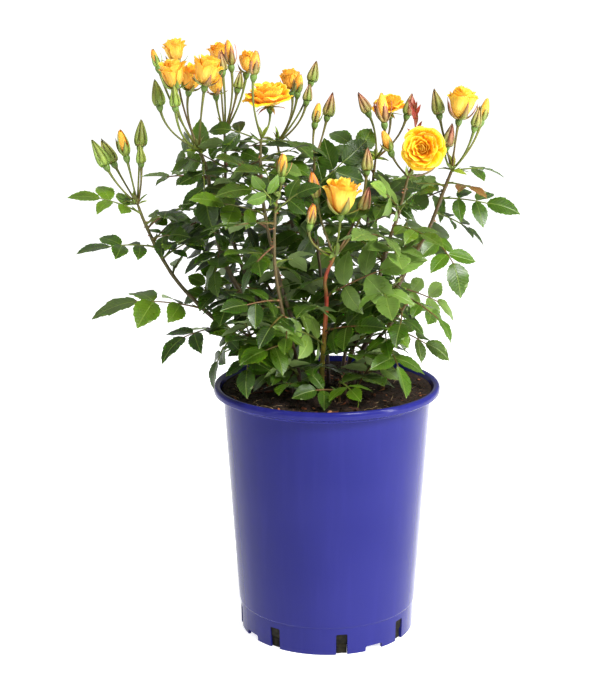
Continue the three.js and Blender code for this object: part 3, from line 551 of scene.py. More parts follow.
def chipMaterial():
    material, tree, shader = newMaterial("barkChips", {"Roughness": 0.85, "Specular IOR Level": 0.3})
    spot = place(tree)
    grain = noise(tree, stretched(tree, spot, (1, 0.35, 1)), 700, 4, 0.65)
    tone = ramp(tree, attribute(tree, "tone"), [(0.0, (46, 29, 21)), (0.55, (86, 50, 34)),
                                                (0.84, (150, 84, 48)), (1.0, (204, 148, 98))])
    tone = mixed(tree, 0.75, tone, ramp(tree, grain, [(0.3, 0.25), (0.7, 1.0)]), "MULTIPLY")
    join(tree, shader, Base_Color=tone, Normal=bump(tree, grain, 0.6, 0.0004))
    return material


def fibreMaterial():
    material, tree, shader = newMaterial("paleFibres", {"Roughness": 0.8, "Specular IOR Level": 0.3})
    fleck = noise(tree, place(tree), 500, 3)
    tone = ramp(tree, fleck, [(0.3, (92, 70, 46)), (0.7, (190, 164, 120))])
    join(tree, shader, Base_Color=tone, Normal=bump(tree, fleck, 0.3, 0.0002))
    return material


def crumbForm(name, dice):
    # a broken icosahedron, one millimetre across
    golden = (1 + 5 ** 0.5) / 2
    corners = [vec(x, y, 0) for x in (-1, 1) for y in (-golden, golden)]
    corners = corners + [np.roll(c, 1) for c in corners] + [np.roll(c, 2) for c in corners]
    points = np.array([unit(c) * dice.uniform(0.32, 0.58) for c in corners]) * dice.uniform(0.75, 1.2, 3)
    edge = 2 / math.hypot(1, golden) + 0.01
    base = [unit(c) for c in corners]
    near = [[j for j in range(12) if j != i and np.linalg.norm(base[i] - base[j]) < edge] for i in range(12)]
    faces = []
    for i in range(12):
        for j in near[i]:
            for k in near[i]:
                if i < j < k and k in near[j]:
                    out = np.dot(np.cross(base[j] - base[i], base[k] - base[i]), base[i]) > 0
                    faces.append((i, j, k) if out else (i, k, j))
    return bpy.data.objects.new(name, newMesh(name, points, faces, smooth=False))


def chipForm(name, dice):
    # a flat splinter, one millimetre long
    corners, points = 8, []
    turns = np.sort(dice.uniform(-0.25, 0.25, corners) + np.linspace(0, 2 * math.pi, corners, endpoint=False))
    reach = dice.uniform(0.75, 1.1, corners)
    for height, share in ((-0.07, 0.75), (0.0, 1.0), (0.07, 0.8)):
        for turn, far in zip(turns, reach):
            x, y = 0.5 * share * far * math.cos(turn), 0.2 * share * far * math.sin(turn)
            points.append((x, y, height + 0.25 * x * x + dice.uniform(-0.02, 0.02)))
    faces = [tuple(reversed(range(corners))), tuple(range(2 * corners, 3 * corners))]
    faces += sleeve(0, corners) + sleeve(corners, corners)
    return bpy.data.objects.new(name, newMesh(name, points, faces, smooth=False))


def fibreForm(name, dice):
    # a bent hair of root, one millimetre long
    bend, lift = dice.uniform(-0.5, 0.5), dice.uniform(0.04, 0.2)
    points, faces, sides, steps = [], [], 3, 6
    for step in range(steps + 1):
        share = step / steps
        middle = vec(share - 0.5, bend * share * (1 - share), lift * math.sin(math.pi * share) - 0.03)
        thick = 0.022 * (1 - 0.6 * share)
        for side in range(sides):
            turn = 2 * math.pi * side / sides
            points.append(middle + vec(0, thick * math.cos(turn), thick * math.sin(turn)))
    for step in range(steps):
        faces += sleeve(step * sides, sides)
    faces += [tuple(reversed(range(sides))), tuple(range(steps * sides, steps * sides + sides))]
    return bpy.data.objects.new(name, newMesh(name, points, faces))


def formsOf(name, makers):
    # a collection of small shapes for a node tree to pick from, in the order of their numbers
    forms = bpy.data.collections.new(name)
    for number, make in enumerate(makers):
        forms.objects.link(make(f"{name}{number:02d}"))
    return forms


def dropForms(forms):
    for form in list(forms.objects):
        mesh = form.data
        bpy.data.objects.remove(form)
        bpy.data.meshes.remove(mesh)
    bpy.data.collections.remove(forms)


def strewTree():
    kinds = ("Crumbs", "Chips", "Fibres")
    inputs = {"Seed": "Int", "Clear Of Wall": "Float", "Above": "Float"}
    for kind in kinds:
        inputs.update({kind: "Collection", kind + " Density": "Float", kind + " Least": "Float",
                       kind + " Most": "Float", kind + " Finish": "Material"})
    tree, given, out = newTree("soilStrewn", inputs)
    x, y, z = parts(tree, nodeOut(tree, "GeometryNodeInputPosition"))
    radius = maths(tree, "SQRT", maths(tree, "ADD", maths(tree, "MULTIPLY", x, x), maths(tree, "MULTIPLY", y, y)))
    onTop = nodeOut(tree, "FunctionNodeBooleanMath", {
        0: compared(tree, "LESS_THAN", radius, given["Clear Of Wall"]),
        1: compared(tree, "GREATER_THAN", z, given["Above"])})
    strewn = [given["Geometry"]]
    for number, kind in enumerate(kinds):
        seed = maths(tree, "ADD", given["Seed"], number * 10)
        spread = addNode(tree, "GeometryNodeDistributePointsOnFaces", {
            "Mesh": given["Geometry"], "Selection": onTop, "Density": given[kind + " Density"], "Seed": seed})
        tip = soil[kind.lower()]["tip"]
        turn = chance(tree, seed, "FLOAT_VECTOR", (-tip, -tip, 0), (tip, tip, 6.28))
        small = maths(tree, "POWER", chance(tree, maths(tree, "ADD", seed, 3)), soil["manySmall"])
        size = rescaled(tree, small, 0, 1, given[kind + " Least"], given[kind + " Most"])
        pick = chance(tree, maths(tree, "ADD", seed, 5), "INT", 0, soil["shapes"] - 1)
        laid = nodeOut(tree, "GeometryNodeInstanceOnPoints", {
            "Points": spread.outputs["Points"], "Instance": shapesIn(tree, given[kind]), "Pick Instance": True,
            "Instance Index": pick, "Rotation": asRotation(tree, turn), "Scale": size})
        for name, value in (("tone", chance(tree, maths(tree, "ADD", seed, 7))), ("litter", float(number))):
            laid = nodeOut(tree, "GeometryNodeStoreNamedAttribute", {
                "Geometry": laid, "Name": name, "Value": value}, domain="INSTANCE")
        strewn.append(realized(tree, laid))
    done = realized(tree, nodeOut(tree, "GeometryNodeJoinGeometry", {0: strewn}))
    done = painted(tree, done, given["Crumbs Finish"])
    for number, kind in enumerate(kinds[1:], 1):
        ours = compared(tree, "GREATER_THAN", named(tree, "litter", "FLOAT"), number - 0.5)
        done = painted(tree, done, given[kind + " Finish"], ours)
    tree.links.new(done, out.inputs[0])
    return tree


def slotPlugs(points, faces):
    # a rough block of peat behind each slot, added to the bed's points and faces
    near, far, half, low, high = soil["plug"]
    slots, steps, dice = pot["slots"], soil["plugSteps"], np.random.default_rng(soil["seed"] + 1)
    block, rough = steps * steps, soil["plugRough"]
    grid = np.arange(block).reshape(steps, steps)
    margin = [int(corner) for corner in (*grid[0], *grid[1:, -1], *grid[-1, -2::-1], *grid[-2:0:-1, 0])]
    for number in range(slots["count"]):
        turn = math.radians(slots["phase"] + 360 / slots["count"] * number - 90)
        out, side = vec(math.cos(turn), math.sin(turn), 0), vec(-math.sin(turn), math.cos(turn), 0)
        first = len(points)
        for reach in (near, far):
            for level in np.linspace(low, high, steps):
                for across in np.linspace(-half, half, steps):
                    crumbly = dice.uniform(-rough, rough) if reach == far else 0
                    points.append(tuple(out * (reach + crumbly) + side * across + vec(0, 0, level)))
        for row in range(steps - 1):
            for column in range(steps - 1):
                a = first + row * steps + column
                faces.append((a, a + steps, a + steps + 1, a + 1))
                a += block
                faces.append((a, a + 1, a + steps + 1, a + steps))
        for a, b in zip(margin, margin[1:] + margin[:1]):
            faces.append((first + a, first + b, first + b + block, first + a + block))


def makeSoil():
    dice = np.random.default_rng(soil["seed"])
    segments, points = soil["segments"], [(0, 0, float(soilHeight(0, 0)))]
    turns = np.linspace(0, 2 * math.pi, segments, endpoint=False)
    for ring in range(1, soil["rings"] + 1):
        radius = soil["edge"] * ring / soil["rings"]
        for x, y in zip(radius * np.cos(turns), radius * np.sin(turns)):
            points.append((x, y, float(soilHeight(x, y))))
    # where the wall starts to flare out, then the foot of the bed
    edge, height = soil["flareFoot"]
    low = edge - (height - soil["bottom"]) * soil["wallSlope"]
    points += circle(edge, height, segments) + circle(low, soil["bottom"], segments)
    points.append((0, 0, soil["bottom"]))
    faces = []
    for index, after in around(segments):
        faces.append((0, 1 + index, 1 + after))
        for ring in range(soil["rings"] + 1):
            a, b = 1 + ring * segments + index, 1 + ring * segments + after
            faces.append((a, a + segments, b + segments, b))
        last = 1 + (soil["rings"] + 1) * segments
        faces.append((last + index, last + segments, last + after))
    slotPlugs(points, faces)
    bed = newPiece("soilBed", newMesh("soilBed", points, faces))
    litter = {"Crumbs": (crumbForm, peatMaterial), "Chips": (chipForm, chipMaterial),
              "Fibres": (fibreForm, fibreMaterial)}
    values = {"Seed": soil["seed"], "Clear Of Wall": soil["clearOfWall"] * mm,
              "Above": (soil["top"] - soil["clearOfFlank"]) * mm}
    for kind, (form, finish) in litter.items():
        own, makers = soil[kind.lower()], [lambda name, form=form: form(name, dice)] * soil["shapes"]
        values.update({kind: formsOf(kind.lower(), makers), kind + " Finish": finish(),
                       kind + " Density": float(own["density"]), kind + " Least": float(own["least"]),
                       kind + " Most": float(own["most"])})
    grown(bed, strewTree(), values)
    for kind in litter:
        dropForms(values[kind])
    finishPiece(bed, "soil")
    print("soil made:", len(bed.data.polygons), "faces")


makeSoil()


# The plant: where its canes, leaves and flowers stand. The same rule and the same draws
# give the solids of the frame, so each piece lies where its node is.

# Each cane: its radius at the soil, points of its centre line, its leaves, as
# [place along the cane, x, y, z of the leaf's tip, leaflets], the flowers at its end, as
# [kind, foot of the calyx, tip], and, where more leaves stand round it by rule, these as
# [first place, last place, number, first azimuth].
canes = [
    {"name": "far_left", "radius": 2.3,
     "path": [[-20, 2, 201], [-54, 4, 256], [-96, 6, 288], [-132, 8, 323], [-152, 10, 353], [-166, 10, 384],
              [-172, 10, 401]],
     "leaves": [[0.91, -230, -6, 412, 5], [0.71, -221, -24, 361, 5], [0.41, -212, -16, 311, 5],
                [0.33, -150, -40, 275, 5], [0.8, -129, 44, 394, 3], [0.57, -120, 56, 361, 3]],
     "flowers": [
         ["closed", [-197, 4, 433], [-209, 4, 457]],
         ["closed", [-192, 18, 434], [-204, 22, 456]],
         ["bud", [-179, 2, 441], [-185, 0, 470]],
         ["closed", [-169, 14, 449], [-167, 14, 474]],
         ["closed", [-166, -4, 437], [-166, -8, 454]],
     ]},
    {"name": "upper_left", "radius": 2.9,
     "path": [[-16, 14, 201], [-39, 16, 263], [-74, 20, 308], [-95, 24, 346], [-105, 22, 392], [-108, 18, 426],
              [-115, 12, 450]],
     "leaves": [[0.82, -162, -20, 424, 5], [0.65, -146, 4, 366, 5], [0.54, -99, -22, 325, 3],
                [0.41, -134, 20, 298, 3], [0.9, -142, 50, 440, 3]],
     "flowers": [
         ["closed", [-149, 10, 486], [-153, 10, 510]],
         ["closed", [-131, -34, 489], [-132, -36, 508]],
         ["bud", [-150, 22, 519], [-156, 24, 540]],
         ["half", [-133, -16, 502], [-135, -20, 531]],
         ["half", [-137, 42, 521], [-139, 44, 546]],
         ["half", [-124, 14, 499], [-118, 6, 524]],
         ["half", [-107, -20, 505], [-102, -22, 535]],
     ],
     "more": [0.34, 0.75, 1, 60]},
    {"name": "left_centre", "radius": 2.2,
     "path": [[-12, 28, 201], [-32, 34, 256], [-64, 42, 305], [-85, 44, 352], [-93, 40, 400], [-93, 34, 438],
              [-93, 30, 464]],
     "leaves": [[0.89, -62, 2, 444, 3], [0.74, -124, 74, 425, 3], [0.61, -128, 84, 356, 3]],
     "flowers": [
         ["half", [-98, 56, 518], [-99, 56, 542]],
         ["half", [-100, 30, 494], [-101, 26, 515]],
         ["bud", [-85, 20, 520], [-88, 20, 548]],
         ["closed", [-92, 6, 517], [-94, 6, 535]],
         ["closed", [-81, 26, 500], [-78, 28, 516]],
         ["half", [-73, 32, 513], [-70, 32, 535]],
     ],
     "more": [0.36, 0.8, 2, 30]},
    {"name": "upper_centre", "radius": 2,
     "path": [[-12, -12, 201], [-24, -20, 276], [-38, -34, 325], [-50, -38, 376], [-57, -30, 419],
              [-58, -22, 453], [-57, -20, 464]],
     "leaves": [[0.58, -115, -66, 413, 5], [0.71, -94, -62, 450, 3], [0.45, -86, -84, 368, 3],
                [0.76, -24, -54, 436, 3]],
     "flowers": [
         ["bud", [-63, -36, 515], [-60, -38, 541]],
         ["open", [-50, -2, 485], [-52, -6, 512]],
     ]},
    {"name": "upper_mid", "radius": 2,
     "path": [[-2, 28, 201], [-14, 36, 263], [-23, 62, 310], [-32, 76, 366], [-40, 72, 415], [-46, 62, 451]],
     "leaves": [[0.8, 2, 104, 436, 3], [0.64, 12, 122, 388, 3], [0.71, -76, 118, 386, 3]],
     "flowers": [
         ["half", [-32, 76, 493], [-35, 78, 517]],
         ["bud", [-27, 48, 494], [-24, 46, 516]],
         ["closed", [-15, 68, 503], [-10, 70, 523]],
         ["closed", [-19, 60, 486], [-16, 62, 503]],
     ],
     "more": [0.4, 0.9, 1, 80]},
    {"name": "centre_back", "radius": 1.9,
     "path": [[4, 8, 201], [0, 10, 269], [-4, 22, 319], [-10, 30, 374], [-13, 28, 411], [-11, 22, 439]],
     "leaves": [[0.8, 22, 30, 468, 3], [0.69, 24, -6, 418, 3], [0.53, -30, -16, 398, 3]],
     "flowers": [
         ["bud", [-11, 18, 469], [-7, 18, 492]],
         ["closed", [0, 34, 474], [5, 36, 496]],
     ],
     "more": [0.4, 0.9, 1, 20]},
    {"name": "front", "radius": 2.5,
     "path": [[-6, -20, 201], [-4, -22, 257], [-2, -34, 289], [0, -44, 323], [-1, -50, 344], [7, -54, 364]],
     "leaves": [[0.78, -85, -98, 395, 5], [0.42, 48, -92, 309, 5], [0.63, 81, -74, 367, 5],
                [0.52, -24, -96, 318, 3], [0.33, -42, -86, 300, 5], [0.2, -12, -82, 262, 3]],
     "flowers": [
         ["bud", [-8, -44, 409], [-13, -44, 437]],
         ["bud", [-15, -62, 389], [-11, -62, 412]],
         ["half", [12, -60, 397], [15, -62, 434]],
         ["closed", [30, -46, 399], [36, -46, 420]],
         ["closed", [35, -36, 433], [36, -36, 453]],
     ]},
    {"name": "low_centre", "radius": 1.9,
     "path": [[-20, -32, 201], [-27, -40, 267], [-37, -66, 310], [-44, -80, 357], [-44, -84, 397],
              [-42, -84, 418]],
     "leaves": [[0.95, -62, -102, 442, 3], [0.89, -8, -100, 434, 3], [0.48, -88, -112, 326, 5],
                [0.42, -46, -126, 305, 5], [0.28, -72, -98, 280, 3]],
     "flowers": [["bud", [-38, -84, 433], [-36, -84, 458]]]},
    {"name": "right_inner", "radius": 2.2,
     "path": [[12, -16, 201], [23, -20, 271], [41, -36, 321], [54, -40, 372], [64, -34, 400], [72, -24, 430]],
     "leaves": [[0.8, 38, -78, 430, 5], [0.71, 97, -80, 377, 5], [0.49, 26, -102, 340, 3],
                [0.2, 25, -84, 272, 3], [0.34, 44, -90, 300, 3]],
     "flowers": [
         ["open", [86, -28, 454], [81, -52, 458]],
         ["bud", [58, -22, 448], [49, -26, 471]],
         ["closed", [99, -12, 442], [103, -12, 455]],
     ],
     "more": [0.34, 0.6, 1, 170]},
    {"name": "right_centre", "radius": 2,
     "path": [[10, 26, 201], [18, 30, 259], [30, 44, 314], [37, 44, 367], [42, 36, 410], [45, 28, 440]],
     "leaves": [[0.8, 14, 60, 442, 3], [0.62, 6, 104, 376, 3], [0.72, 80, 96, 402, 3]],
     "flowers": [
         ["closed", [39, 22, 479], [30, 20, 497]],
         ["open", [59, 50, 475], [57, 46, 495]],
         ["bud", [52, 2, 470], [49, 0, 502]],
         ["closed", [72, 24, 476], [77, 24, 496]],
     ],
     "more": [0.36, 0.9, 2, 10]},
    {"name": "far_right", "radius": 2.5,
     "path": [[18, 6, 201], [33, 8, 263], [62, 14, 317], [77, 16, 346], [93, 14, 376], [106, 10, 412],
              [113, 6, 432]],
     "leaves": [[0.99, 160, 4, 430, 3], [0.89, 141, -18, 412, 3], [0.8, 172, -4, 404, 5],
                [0.74, 146, 24, 362, 5], [0.66, 125, -30, 329, 5], [0.36, 124, 26, 294, 5], [0.84, 80, 60, 392, 3],
                [0.3, 74, -44, 306, 3]],
     "flowers": [
         ["closed", [102, 14, 477], [97, 14, 500]],
         ["half", [117, -2, 473], [122, -4, 506]],
         ["closed", [129, -24, 470], [133, -26, 488]],
         ["bud", [138, 12, 471], [144, 12, 496]],
         ["closed", [107, 8, 449], [112, 8, 470]],
     ]},
    {"name": "low_right", "radius": 1.9,
     "path": [[22, -14, 201], [33, -16, 261], [52, -26, 290], [66, -30, 308], [74, -30, 322]],
     "leaves": [[0.99, 112, -56, 292, 5], [0.78, 84, -88, 290, 5], [0.45, 69, -88, 249, 5],
                [0.56, 98, -26, 251, 5]],
     "flowers": []},
    {"name": "low_left", "radius": 1.9,
     "path": [[-28, -18, 201], [-37, -22, 256], [-60, -36, 281], [-80, -42, 297]],
     "leaves": [[0.99, -104, -64, 250, 5], [0.8, -70, -88, 253, 5], [0.6, -46, -98, 254, 5]],
     "flowers": []},
    {"name": "front_shoot", "radius": 1.4,
     "path": [[12, -42, 201], [12, -46, 224], [11, -52, 240], [12, -60, 252]],
     "leaves": [[1, 28, -104, 240, 3], [0.72, -22, -88, 248, 3]],
     "flowers": []},
    {"name": "back_left", "radius": 2,
     "path": [[-16, 46, 201], [-27, 56, 258], [-50, 84, 296], [-72, 104, 338], [-78, 112, 372]],
     "leaves": [],
     "flowers": [],
     "more": [0.4, 1, 4, 100]},
    {"name": "back_right", "radius": 2,
     "path": [[14, 44, 201], [26, 54, 258], [50, 82, 296], [70, 102, 336], [78, 108, 366]],
     "leaves": [],
     "flowers": [],
     "more": [0.4, 1, 4, 20]},
]

plant = {
    "seed": 20417,
    "tipShare": 0.55, "stalkRadius": 0.95, "stalkBend": 0.45,
    "leafGap": 5, "stemGap": 4, "flowerGap": 4, "ownCaneEase": 1,
    "overSoil": 2, "overRim": 6, "insideRim": 84, "soilTop": 230, "rimTop": 236,
    "caneTests": 80, "stalkShares": (0, 0.35, 0.7, 1), "stalkTests": (0, 0.33, 0.67),
    "bloomTest": 0.62, "calyxTest": 0.2, "nominalBloom": 30, "hipHeight": 5.2, "hipRadius": 2.5,
    "reach": {"closed": 5, "bud": 8, "half": 14, "open": 25},
    "clearance": 0.3,
}

leafRule = {
    "rachisHalfWidth": 0.95, "arch": 0.13, "handRoll": 20,
    "goldenTurn": 144, "turnSpread": 15, "riseAtFoot": -4, "riseGain": 26, "riseSpread": 8,
    "leastLength": 62, "moreLength": 14, "ruleRoll": 25,
    "forms": {
        5: {"pairs": [(0.26, 0.31, 68), (0.5, 0.37, 58)], "end": 0.57},
        3: {"pairs": [(0.42, 0.44, 60)], "end": 0.5},
    },
    "fold": 0.16, "leafletArch": 0.05, "droop": 0.12,
    "outwardLean": 0.35, "frontLean": 1.15, "lightBehind": 70,
    "testsAlong": (0.15, 0.35, 0.55, 0.75), "testsAcross": (-0.25, -0.08, 0.08, 0.25), "testTip": 0.95,
    "ribTests": (0.2, 0.3, 0.4, 0.5),
    "handTurns": [(0, 0), (0, 8), (0, -8), (9, 0), (-9, 0), (9, 9), (-9, -9), (16, 0), (-16, 0),
                  (0, 16), (0, -16), (22, 8), (-22, 8), (28, -8), (-28, -8)],
    "ruleTurns": [(0, 0), (24, 0), (-24, 0), (0, 22), (0, -22), (48, 0), (-48, 0), (48, 22), (-48, 22),
                  (48, -22), (-48, -22), (80, 0), (-80, 0), (110, 10), (-110, 10), (140, -10), (-140, -10), (180, 0)],
}

# Smaller leaves that fill the bush, kept nearer to the rest than the solids' own leaves are
fillRule = {
    "seed": 311, "tries": 30, "turns": 9, "from": 0.1, "to": 0.96, "length": (46, 76), "threeOver": 0.55,
    "rise": (-30, 20), "ease": 3.2, "nearLeaves": 38, "most": 158, "frontLean": 0.3,
    # those at the foot of the bush: every so many turns, from where to where along the cane, how steep
    "footEvery": 3, "footFrom": 0.04, "footTo": 0.2, "footRise": (0, 35),
    # how far left and right they may reach at each height
    "span": [(235, -80, 80), (290, -112, 80), (330, -134, 78), (370, -168, 84), (430, -168, 100),
             (470, -105, 88), (500, -100, 20)],
    # the front cane stays in sight: half the width, how far back, lowest, highest
    "openFront": (10, -32, 240, 370),
    "front": -112, "openSoil": (0.27, 229),  # how far forward, and a slope that keeps the soil in sight
}


def newDice(seed):
    # a repeatable random number from 0 to 1
    state = [seed]

    def draw():
        state[0] = (state[0] * 1664525 + 1013904223) % 4294967296
        return state[0] / 4294967296
    return draw


def aboutZero(draw, spread):
    return spread * (2 * draw() - 1)


def towards(turn, rise):
    return vec(math.cos(turn) * math.cos(rise), math.sin(turn) * math.cos(rise), math.sin(rise))


def square(direction, hint):
    return unit(hint - direction * np.dot(hint, direction))


def onCurve(points, share):
    # a point on the smooth line through a list of points
    points = np.asarray(points, float)
    last = len(points) - 1
    index = min(int(share * last), last - 1)
    weight = share * last - index
    p1, p2 = points[index], points[index + 1]
    p0 = points[index - 1] if index > 0 else 2 * p1 - p2
    p3 = points[index + 2] if index + 2 <= last else 2 * p2 - p1
    t0, t1 = (p2 - p0) / 2, (p3 - p1) / 2
    return (p1 + t0 * weight + (-3 * p1 + 3 * p2 - 2 * t0 - t1) * weight ** 2
            + (2 * p1 - 2 * p2 + t0 + t1) * weight ** 3)


def caneRadius(cane, share):
    return cane["radius"] * (1 - (1 - plant["tipShare"]) * share)


def stalkPath(cane, flower, shares):
    start, foot, tip = onCurve(cane["path"], 1), vec(*flower[1]), vec(*flower[2])
    axis = unit(tip - foot)
    bend = foot - axis * plant["stalkBend"] * np.linalg.norm(start - foot)
    end = foot + axis
    return [blend(blend(start, bend, s), blend(bend, end, s), s) for s in shares]


def leafFrame(leaf):
    base, tip, roll = leaf["base"], leaf["tip"], leaf["roll"]
    lean = (fillRule if leaf["fill"] else leafRule)["frontLean"]
    chord = tip - base
    length = np.linalg.norm(chord)
    direction = chord / length
    out = unit(vec(chord[0], chord[1], 0))
    away = unit(vec(base[0] + tip[0], base[1] + tip[1] - 2 * leafRule["lightBehind"], 0))
    up = square(direction, vec(0, 0, 1) + out * leafRule["outwardLean"] + away * lean)
    angle = math.radians(roll)
    up = up * math.cos(angle) + np.cross(direction, up) * math.sin(angle)
    middle = (base + tip) / 2 + up * leafRule["arch"] * length

    def at(share):
        point = blend(blend(base, middle, share), blend(middle, tip, share), share)
        along = unit(blend(middle - base, tip - middle, share))
        normal = square(along, up)
        return point, along, normal, np.cross(normal, along)
    return length, at


def leafletPlaces(leafFramed, form):
    # where each leaflet starts, which way it points, its face's normal and its length
    length, at = leafFramed
    places = []
    for share, size, angle in form["pairs"]:
        point, along, normal, left = at(share)
        for side in (1, -1):
            way = unit(along * math.cos(math.radians(angle)) + left * side * math.sin(math.radians(angle))
                       - normal * leafRule["droop"])
            foot = point + left * side * leafRule["rachisHalfWidth"]
            places.append((foot, way, square(way, normal), size * length))
    foot = at(form["end"])[0]
    reach = at(1)[0] - foot
    way = unit(reach)
    places.append((foot, way, square(way, at(form["end"])[2]), np.linalg.norm(reach)))
    return places


def leafSamples(leaf):
    framed = leafFrame(leaf)
    spots = [(s, w * math.sin(math.pi * s)) for s in leafRule["testsAlong"] for w in leafRule["testsAcross"]]
    spots.append((leafRule["testTip"], 0))
    along, across = np.array(spots).T
    rise = leafRule["fold"] * np.abs(across) + leafRule["leafletArch"] * 4 * along * (1 - along)
    points = []
    for foot, way, normal, size in leafletPlaces(framed, leafRule["forms"][leaf["leaflets"]]):
        side = np.cross(normal, way)
        points.append(foot + size * (np.outer(along, way) + np.outer(across, side) + np.outer(rise, normal)))
    points.append(np.array([framed[1](share)[0] for share in leafRule["ribTests"]]))
    return np.concatenate(points)


def obstacles():
    # what a leaf keeps clear of: points, distances and the canes they belong to
    found = []
    for number, cane in enumerate(canes):
        for index in range(plant["caneTests"] + 1):
            share = index / plant["caneTests"]
            found.append((onCurve(cane["path"], share), caneRadius(cane, share) + plant["stemGap"], number))
        for flower in cane["flowers"]:
            stalk = stalkPath(cane, flower, plant["stalkShares"])
            for start, end in zip(stalk, stalk[1:]):
                for share in plant["stalkTests"]:
                    found.append((blend(start, end, share), plant["stalkRadius"] + plant["stemGap"], number))
            foot, tip = vec(*flower[1]), vec(*flower[2])
            size = np.linalg.norm(tip - foot) / plant["nominalBloom"]
            reach = plant["reach"][flower[0]] * size + plant["flowerGap"]
            found.append((blend(foot, tip, plant["bloomTest"]), reach, number))
            found.append((blend(foot, tip, plant["calyxTest"]), plant["hipRadius"] + plant["flowerGap"], number))
    return [np.array(values) for values in zip(*found)]


def nearest(points, others):
    return np.sqrt(((points[:, None, :] - others[None, :, :]) ** 2).sum(2))


def placeLeaf(wanted, turns, taken, fixed, ease=0.0, allowed=None):
    # a leaf is turned about its foot until it is clear of the stems, the flowers and the leaves so far
    toTip = wanted["tip"] - wanted["base"]
    azimuth = math.atan2(toTip[1], toTip[0])
    height = math.atan2(toTip[2], math.hypot(toTip[0], toTip[1]))
    length = np.linalg.norm(toTip)
    fixedPoints, fixedReaches, owners = fixed
    reaches = fixedReaches - np.where(owners == wanted["cane"], plant["ownCaneEase"], 0) - ease
    close = np.linalg.norm(fixedPoints - wanted["base"], axis=1) < 1.3 * length + reaches
    others = [samples for centre, span, samples in taken
              if np.linalg.norm(centre - wanted["base"]) < 1.3 * length + span + plant["leafGap"]]
    others = np.concatenate(others) if others else np.zeros((0, 3))
    for aside, upward in turns:
        way = towards(azimuth + math.radians(aside), height + math.radians(upward))
        leaf = {**wanted, "tip": wanted["base"] + way * length}
        samples = leafSamples(leaf)
        if samples[:, 2].min() <= plant["soilTop"] + plant["overSoil"]:
            continue
        out = np.hypot(samples[:, 0], samples[:, 1]) > plant["insideRim"]
        if (out & (samples[:, 2] < plant["rimTop"] + plant["overRim"])).any():
            continue
        if allowed and not allowed(samples):
            continue
        if (nearest(samples, fixedPoints[close]) <= reaches[close]).any():
            continue
        if len(others) and (nearest(samples, others) <= plant["leafGap"] - ease).any():
            continue
        centre = samples.mean(0)
        taken.append((centre, np.linalg.norm(samples - centre, axis=1).max(), samples))
        return leaf
    return None


def growLeaves():
    fixed, taken, leaves = obstacles(), [], []
    draw = newDice(plant["seed"])

    def keep(leaf):
        if leaf:
            leaves.append(leaf)
    for number, cane in enumerate(canes):
        for at, x, y, z, leaflets in cane["leaves"]:
            roll = aboutZero(draw, leafRule["handRoll"])
            wanted = {"cane": number, "at": at, "base": onCurve(cane["path"], at), "tip": vec(x, y, z), "roll": roll,
                      "leaflets": leaflets, "fill": False}
            keep(placeLeaf(wanted, leafRule["handTurns"], taken, fixed))
    for number, cane in enumerate(canes):
        first, last, count, azimuth = cane.get("more", (0, 0, 0, 0))
        for index in range(count):
            at = first if count == 1 else first + (last - first) * index / (count - 1)
            turn = math.radians(azimuth + leafRule["goldenTurn"] * index + aboutZero(draw, leafRule["turnSpread"]))
            rise = leafRule["riseAtFoot"] + leafRule["riseGain"] * at + aboutZero(draw, leafRule["riseSpread"])
            length = leafRule["leastLength"] + leafRule["moreLength"] * draw()
            roll = aboutZero(draw, leafRule["ruleRoll"])
            base = onCurve(cane["path"], at)
            wanted = {"cane": number, "at": at, "base": base, "roll": roll, "leaflets": 3, "fill": False,
                      "tip": base + towards(turn, math.radians(rise)) * length}
            keep(placeLeaf(wanted, leafRule["ruleTurns"], taken, fixed))
    print("leaves of the solids:", len(leaves))
    growFillLeaves(leaves, taken, fixed)
    print("leaves in all:", len(leaves))
    return leaves


def growFillLeaves(leaves, taken, fixed):
    draw = newDice(fillRule["seed"])
    solid = np.concatenate([samples for _, _, samples in taken])
    heights, left, right = np.array(fillRule["span"], float).T

    def allowed(samples):
        x, y, z = samples.T
        half, back, lowest, highest = fillRule["openFront"]
        if ((np.abs(x) < half) & (y < back) & (z > lowest) & (z < highest)).any():
            return False
        slope, least = fillRule["openSoil"]
        if y.min() < fillRule["front"] or (z + slope * y).min() < least:
            return False
        inside = (x > np.interp(z, heights, left)).all() and (x < np.interp(z, heights, right)).all()
        low = z.max() < heights[-1]
        return inside and low and nearest(samples[::4], solid).min(axis=1).max() < fillRule["nearLeaves"]
    added = 0
    for turn in range(fillRule["tries"]):
        for number, cane in enumerate(canes):
            if added >= fillRule["most"]:
                return
            isFoot = turn % fillRule["footEvery"] == 0
            first, last = ("footFrom", "footTo") if isFoot else ("from", "to")
            at = blend(fillRule[first], fillRule[last], draw())
            azimuth = draw() * (-180 if isFoot else 360)
            rise = blend(*fillRule["footRise" if isFoot else "rise"], draw())
            length = blend(*fillRule["length"], draw())
            roll = aboutZero(draw, leafRule["ruleRoll"])
            base = onCurve(cane["path"], at)
            leaflets = 3 if draw() > fillRule["threeOver"] else 5
            wanted = {"cane": number, "at": at, "base": base, "roll": roll, "leaflets": leaflets, "fill": True,
                      "tip": base + towards(math.radians(azimuth), math.radians(rise)) * length}
            turns = leafRule["ruleTurns"][:fillRule["turns"]]
            leaf = placeLeaf(wanted, turns, taken, fixed, fillRule["ease"], allowed)
            if leaf:
                leaves.append(leaf)
                added += 1


leaves = growLeaves()


# Leaflets, prickles and stipules: small shapes that a node tree sets along the canes.
# Each leaflet is one unit long: along +X from its foot, across on Y, its upper face towards +Z.

